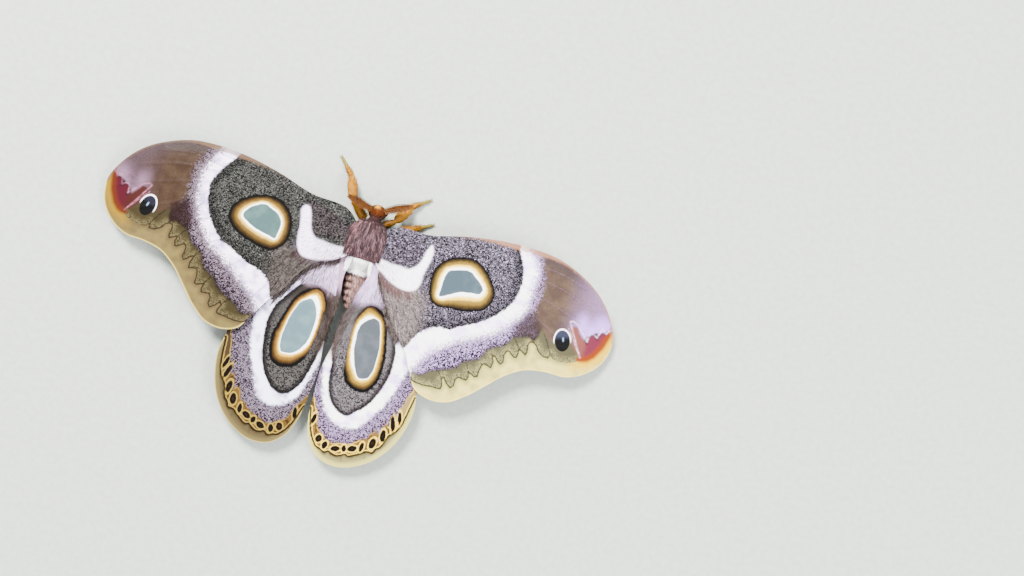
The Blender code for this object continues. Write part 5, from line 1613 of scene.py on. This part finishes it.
feather_finish = body_coat("antenna_feather", paint_feather, 0.6)
ANTENNA_ENDS = {"left": ((-0.1, 5.7, 4.2), (-5.7, 7.0, 5.2)),
                "right": ((0.95, 5.8, 4.2), (6.3, 8.4, 5.3))}
for side, (root_place, tip_place) in ANTENNA_ENDS.items():
    along = np.array(tip_place) - root_place
    ahead = unit(along)
    across = unit(np.array((-ahead[1], ahead[0], 0.0)))
    up = np.cross(ahead, across)

    def on_shaft(share):
        return root_place + along * share + up * 0.25 * math.sin(math.pi * share)

    joints = np.linspace(0, 1, 65)
    radii = [(0.21 - 0.12 * share) * (1.0 if k % 2 else 0.8) for k, share in enumerate(joints)]
    shaft = swept("antenna_shaft_" + side, [on_shaft(share) for share in joints], radii)
    bpy.ops.object.shade_smooth()
    paths, shades = [], []
    for share in np.linspace(0.1, 0.985, 34):
        length = 1.3 * (0.35 + 0.65 * math.sin(math.pi * min(share * 0.9 + 0.12, 1.0)))
        foot = on_shaft(share)
        for turn in (-1, 1):
            for slant, rise in ((0.55, 0.3), (0.95, 0.3 - 0.4)):
                out = unit(across * turn * math.cos(slant) + ahead * math.sin(slant) + up * rise)
                paths.append([foot, foot + out * length * 0.4, foot + out * length * 0.75,
                              foot + unit(out + ahead * 0.35) * length])
                shades.append(draw.uniform(0, 1))
    comb("antenna_barbs_" + side, np.array(paths), np.full(len(paths), 0.11), np.array(shades),
         round_body, feather_finish, "antenna_feather", up)
    own_root(shaft, 0.35)
    dress(shaft, feather_finish, "antenna_feather", "antenna_" + side)

# %% [markdown]
# ## Legs
# Each leg is a thick femur, a hairy tibia, a thin tarsus of five joints and a foot with two
# claws. The places are those of the solids, with the true waists and joints between them.

# %% Legs with joints and claws
LEG_ROUTES = {
    "foreleg_left": [(-1.3, 3.0, 2.2), (-4.7, 6.7, 3.0), (-6.2, 11.0, 1.2), (-9.0, 14.0, 0.0)],
    "foreleg_right": [(1.4, 3.0, 2.2), (4.1, 4.9, 3.0), (6.4, 8.6, 1.2), (9.5, 10.75, 0.0)],
    "midleg_left": [(-2.0, 0.6, 1.8), (-5.4, 2.0, 3.1), (-8.6, 3.4, 1.2), (-12.4, 3.0, 0.0)],
    "midleg_right": [(2.0, 0.6, 1.8), (4.5, 2.4, 3.1), (7.6, 4.5, 1.2), (11.2, 6.4, 0.0)],
    "hindleg_left": [(-1.8, -2.6, 1.7), (-5.1, -6.2, 3.0), (-7.6, -11.2, 1.2), (-9.4, -16.8, 0.0)],
    "hindleg_right": [(1.8, -2.6, 1.7), (4.9, -6.2, 3.0), (7.4, -11.2, 1.2), (9.2, -16.8, 0.0)]}
# Thickness along each part: share of its length, and radius
THIGH = [(0, .5), (.15, .62), (.5, .68), (.85, .58), (.97, .44)]
SHIN = [(.04, .5), (.12, .82), (.4, .98), (.75, .88), (.95, .52)]
TARSUS = [((joint + part) / 4, radius * (1 - joint * 0.1)) for joint in range(4)
          for part, radius in ((0.08, 0.4), (0.3, 0.55), (0.85, 0.58))]
FOOT = [(0.05, .28), (.4, .33), (.85, .3), (1.0, .14)]
CLAW = [(-0.1, 0, 0), (0.22, 0.16, 0.05), (0.42, 0.26, -0.08), (0.46, 0.3, -0.24)]
HAIRY = len(THIGH + SHIN + TARSUS)


def paint_leg(coat, shade, x, y, z):
    """Golden, darker at the body, with a pale foot, dark joints and one dark spur."""
    leg = coat.paint(tint(172, 127, 29), tint(229, 205, 24), shade)
    far = x * x + y * y
    far = far.sum("SQRT", far)
    leg = coat.paint(leg, tint(135, 87, 19), far.step(8.0, 5.0) * 0.75)
    leg = coat.paint(leg, tint(196, 186, 95), z.step(1.2, 0.7))
    joint = z.near(1.2, 0.02, 0.07).larger(z.near(2.95, 0.01, 0.04))
    spur = x.near(7.4, 0.14, 0.1) * y.near(9.1, 0.14, 0.1)
    return coat.paint(leg, tint(90, 59, 17), joint.larger(spur) * 0.75)


leg_finish = body_coat("leg_hair", paint_leg, 0.6)
for name, route in LEG_ROUTES.items():
    hip, knee, ankle, tip = (np.array(point, float) for point in route)
    tip[2] = 0.34
    heel = ankle + (tip - ankle) * (1 - 1.5 / np.linalg.norm(tip - ankle))
    heel[2] = 0.46
    stations, radii = [], []
    for start, end, parts in ((hip, knee, THIGH), (knee, ankle, SHIN), (ankle, heel, TARSUS),
                              (heel, tip, FOOT)):
        for share, radius in parts:
            stations.append(start + (end - start) * share)
            radii.append(radius)
    shell = swept(name + "_shell", stations, radii, 4)
    way = unit(tip - heel)
    across = np.array((-way[1], way[0], 0.0))
    claws = []
    for turn in (-1, 1):
        arc = [tip + way * on + across * turn * aside + UP * rise for on, aside, rise in CLAW]
        claws.append(swept("claw", arc, [0.1, 0.08, 0.055, 0.015], 2))
    leg = joined(name + "_shell", [shell] + claws)
    bpy.ops.object.shade_smooth_by_angle(angle=math.radians(60))
    own_root(leg, 0.3)
    dress(leg, leg_finish, "leg_hair", name)

    # hair lies down the leg, longest on the tibia
    line = np.array(stations[:HAIRY])
    run = np.concatenate([[0], np.cumsum(np.linalg.norm(np.diff(line, axis=0), axis=1))])
    count = 420
    at = draw.uniform(0.4, run[-1] - 0.9, count)
    centre = np.stack([np.interp(at, run, line[:, k]) for k in range(3)], 1)
    radius = np.interp(at, run, radii[:HAIRY])
    nearby = unit(np.stack([np.interp(at + 0.3, run, line[:, k]) for k in range(3)], 1) - centre)
    side_way = unit(np.cross(nearby, UP))
    up_way = np.cross(side_way, nearby)
    angle = draw.uniform(-math.pi, math.pi, count)
    out = side_way * np.cos(angle)[:, None] + up_way * np.sin(angle)[:, None]
    length = draw.uniform(0.35, 0.7, count) * (0.7 + radius)
    paths = np.stack([centre + out * (radius + lift)[:, None] + nearby * (length * share)[:, None]
                      for lift, share in ((-0.06, 0), (0.06, 0.35), (0.13, 0.7), (0.15, 1))], 1)
    paths[:, :, 2] = np.maximum(paths[:, :, 2], 0.05)
    comb(name + "_hair", paths, (0.06, 0.11), (0.2, 1), round_body, leg_finish, "leg_hair", out)

# %% [markdown]
# ## The thigh's fringe
# The left foreleg's thigh carries a fringe of pale hair on the side of the head. It is one more
# comb, whose roots run along the thigh and whose tufts stand out from it and grow shorter.

# %% Fringe of the left foreleg's thigh
count = 420
hip, knee = (np.array(point) for point in LEG_ROUTES["foreleg_left"][:2])
at = draw.uniform(0.2, 0.92, count)
roots = hip + (knee - hip) * at[:, None] + draw.normal(0, 0.12, (count, 3)) + (0.2, 0.2, 0.2)
way = np.array((0.62, 0.78, 0.16)) + draw.normal(0, 0.18, (count, 3))
reach = draw.uniform(0.6, 1.25, count) * (1.25 - at)
steps = np.array((0, 0.33, 0.66, 1.0))[None, :, None]
paths = roots[:, None, :] + way[:, None, :] * reach[:, None, None] * steps
comb("thigh_fringe", paths, (0.06, 0.1), (0.2, 1), round_body, leg_finish, "leg_hair")
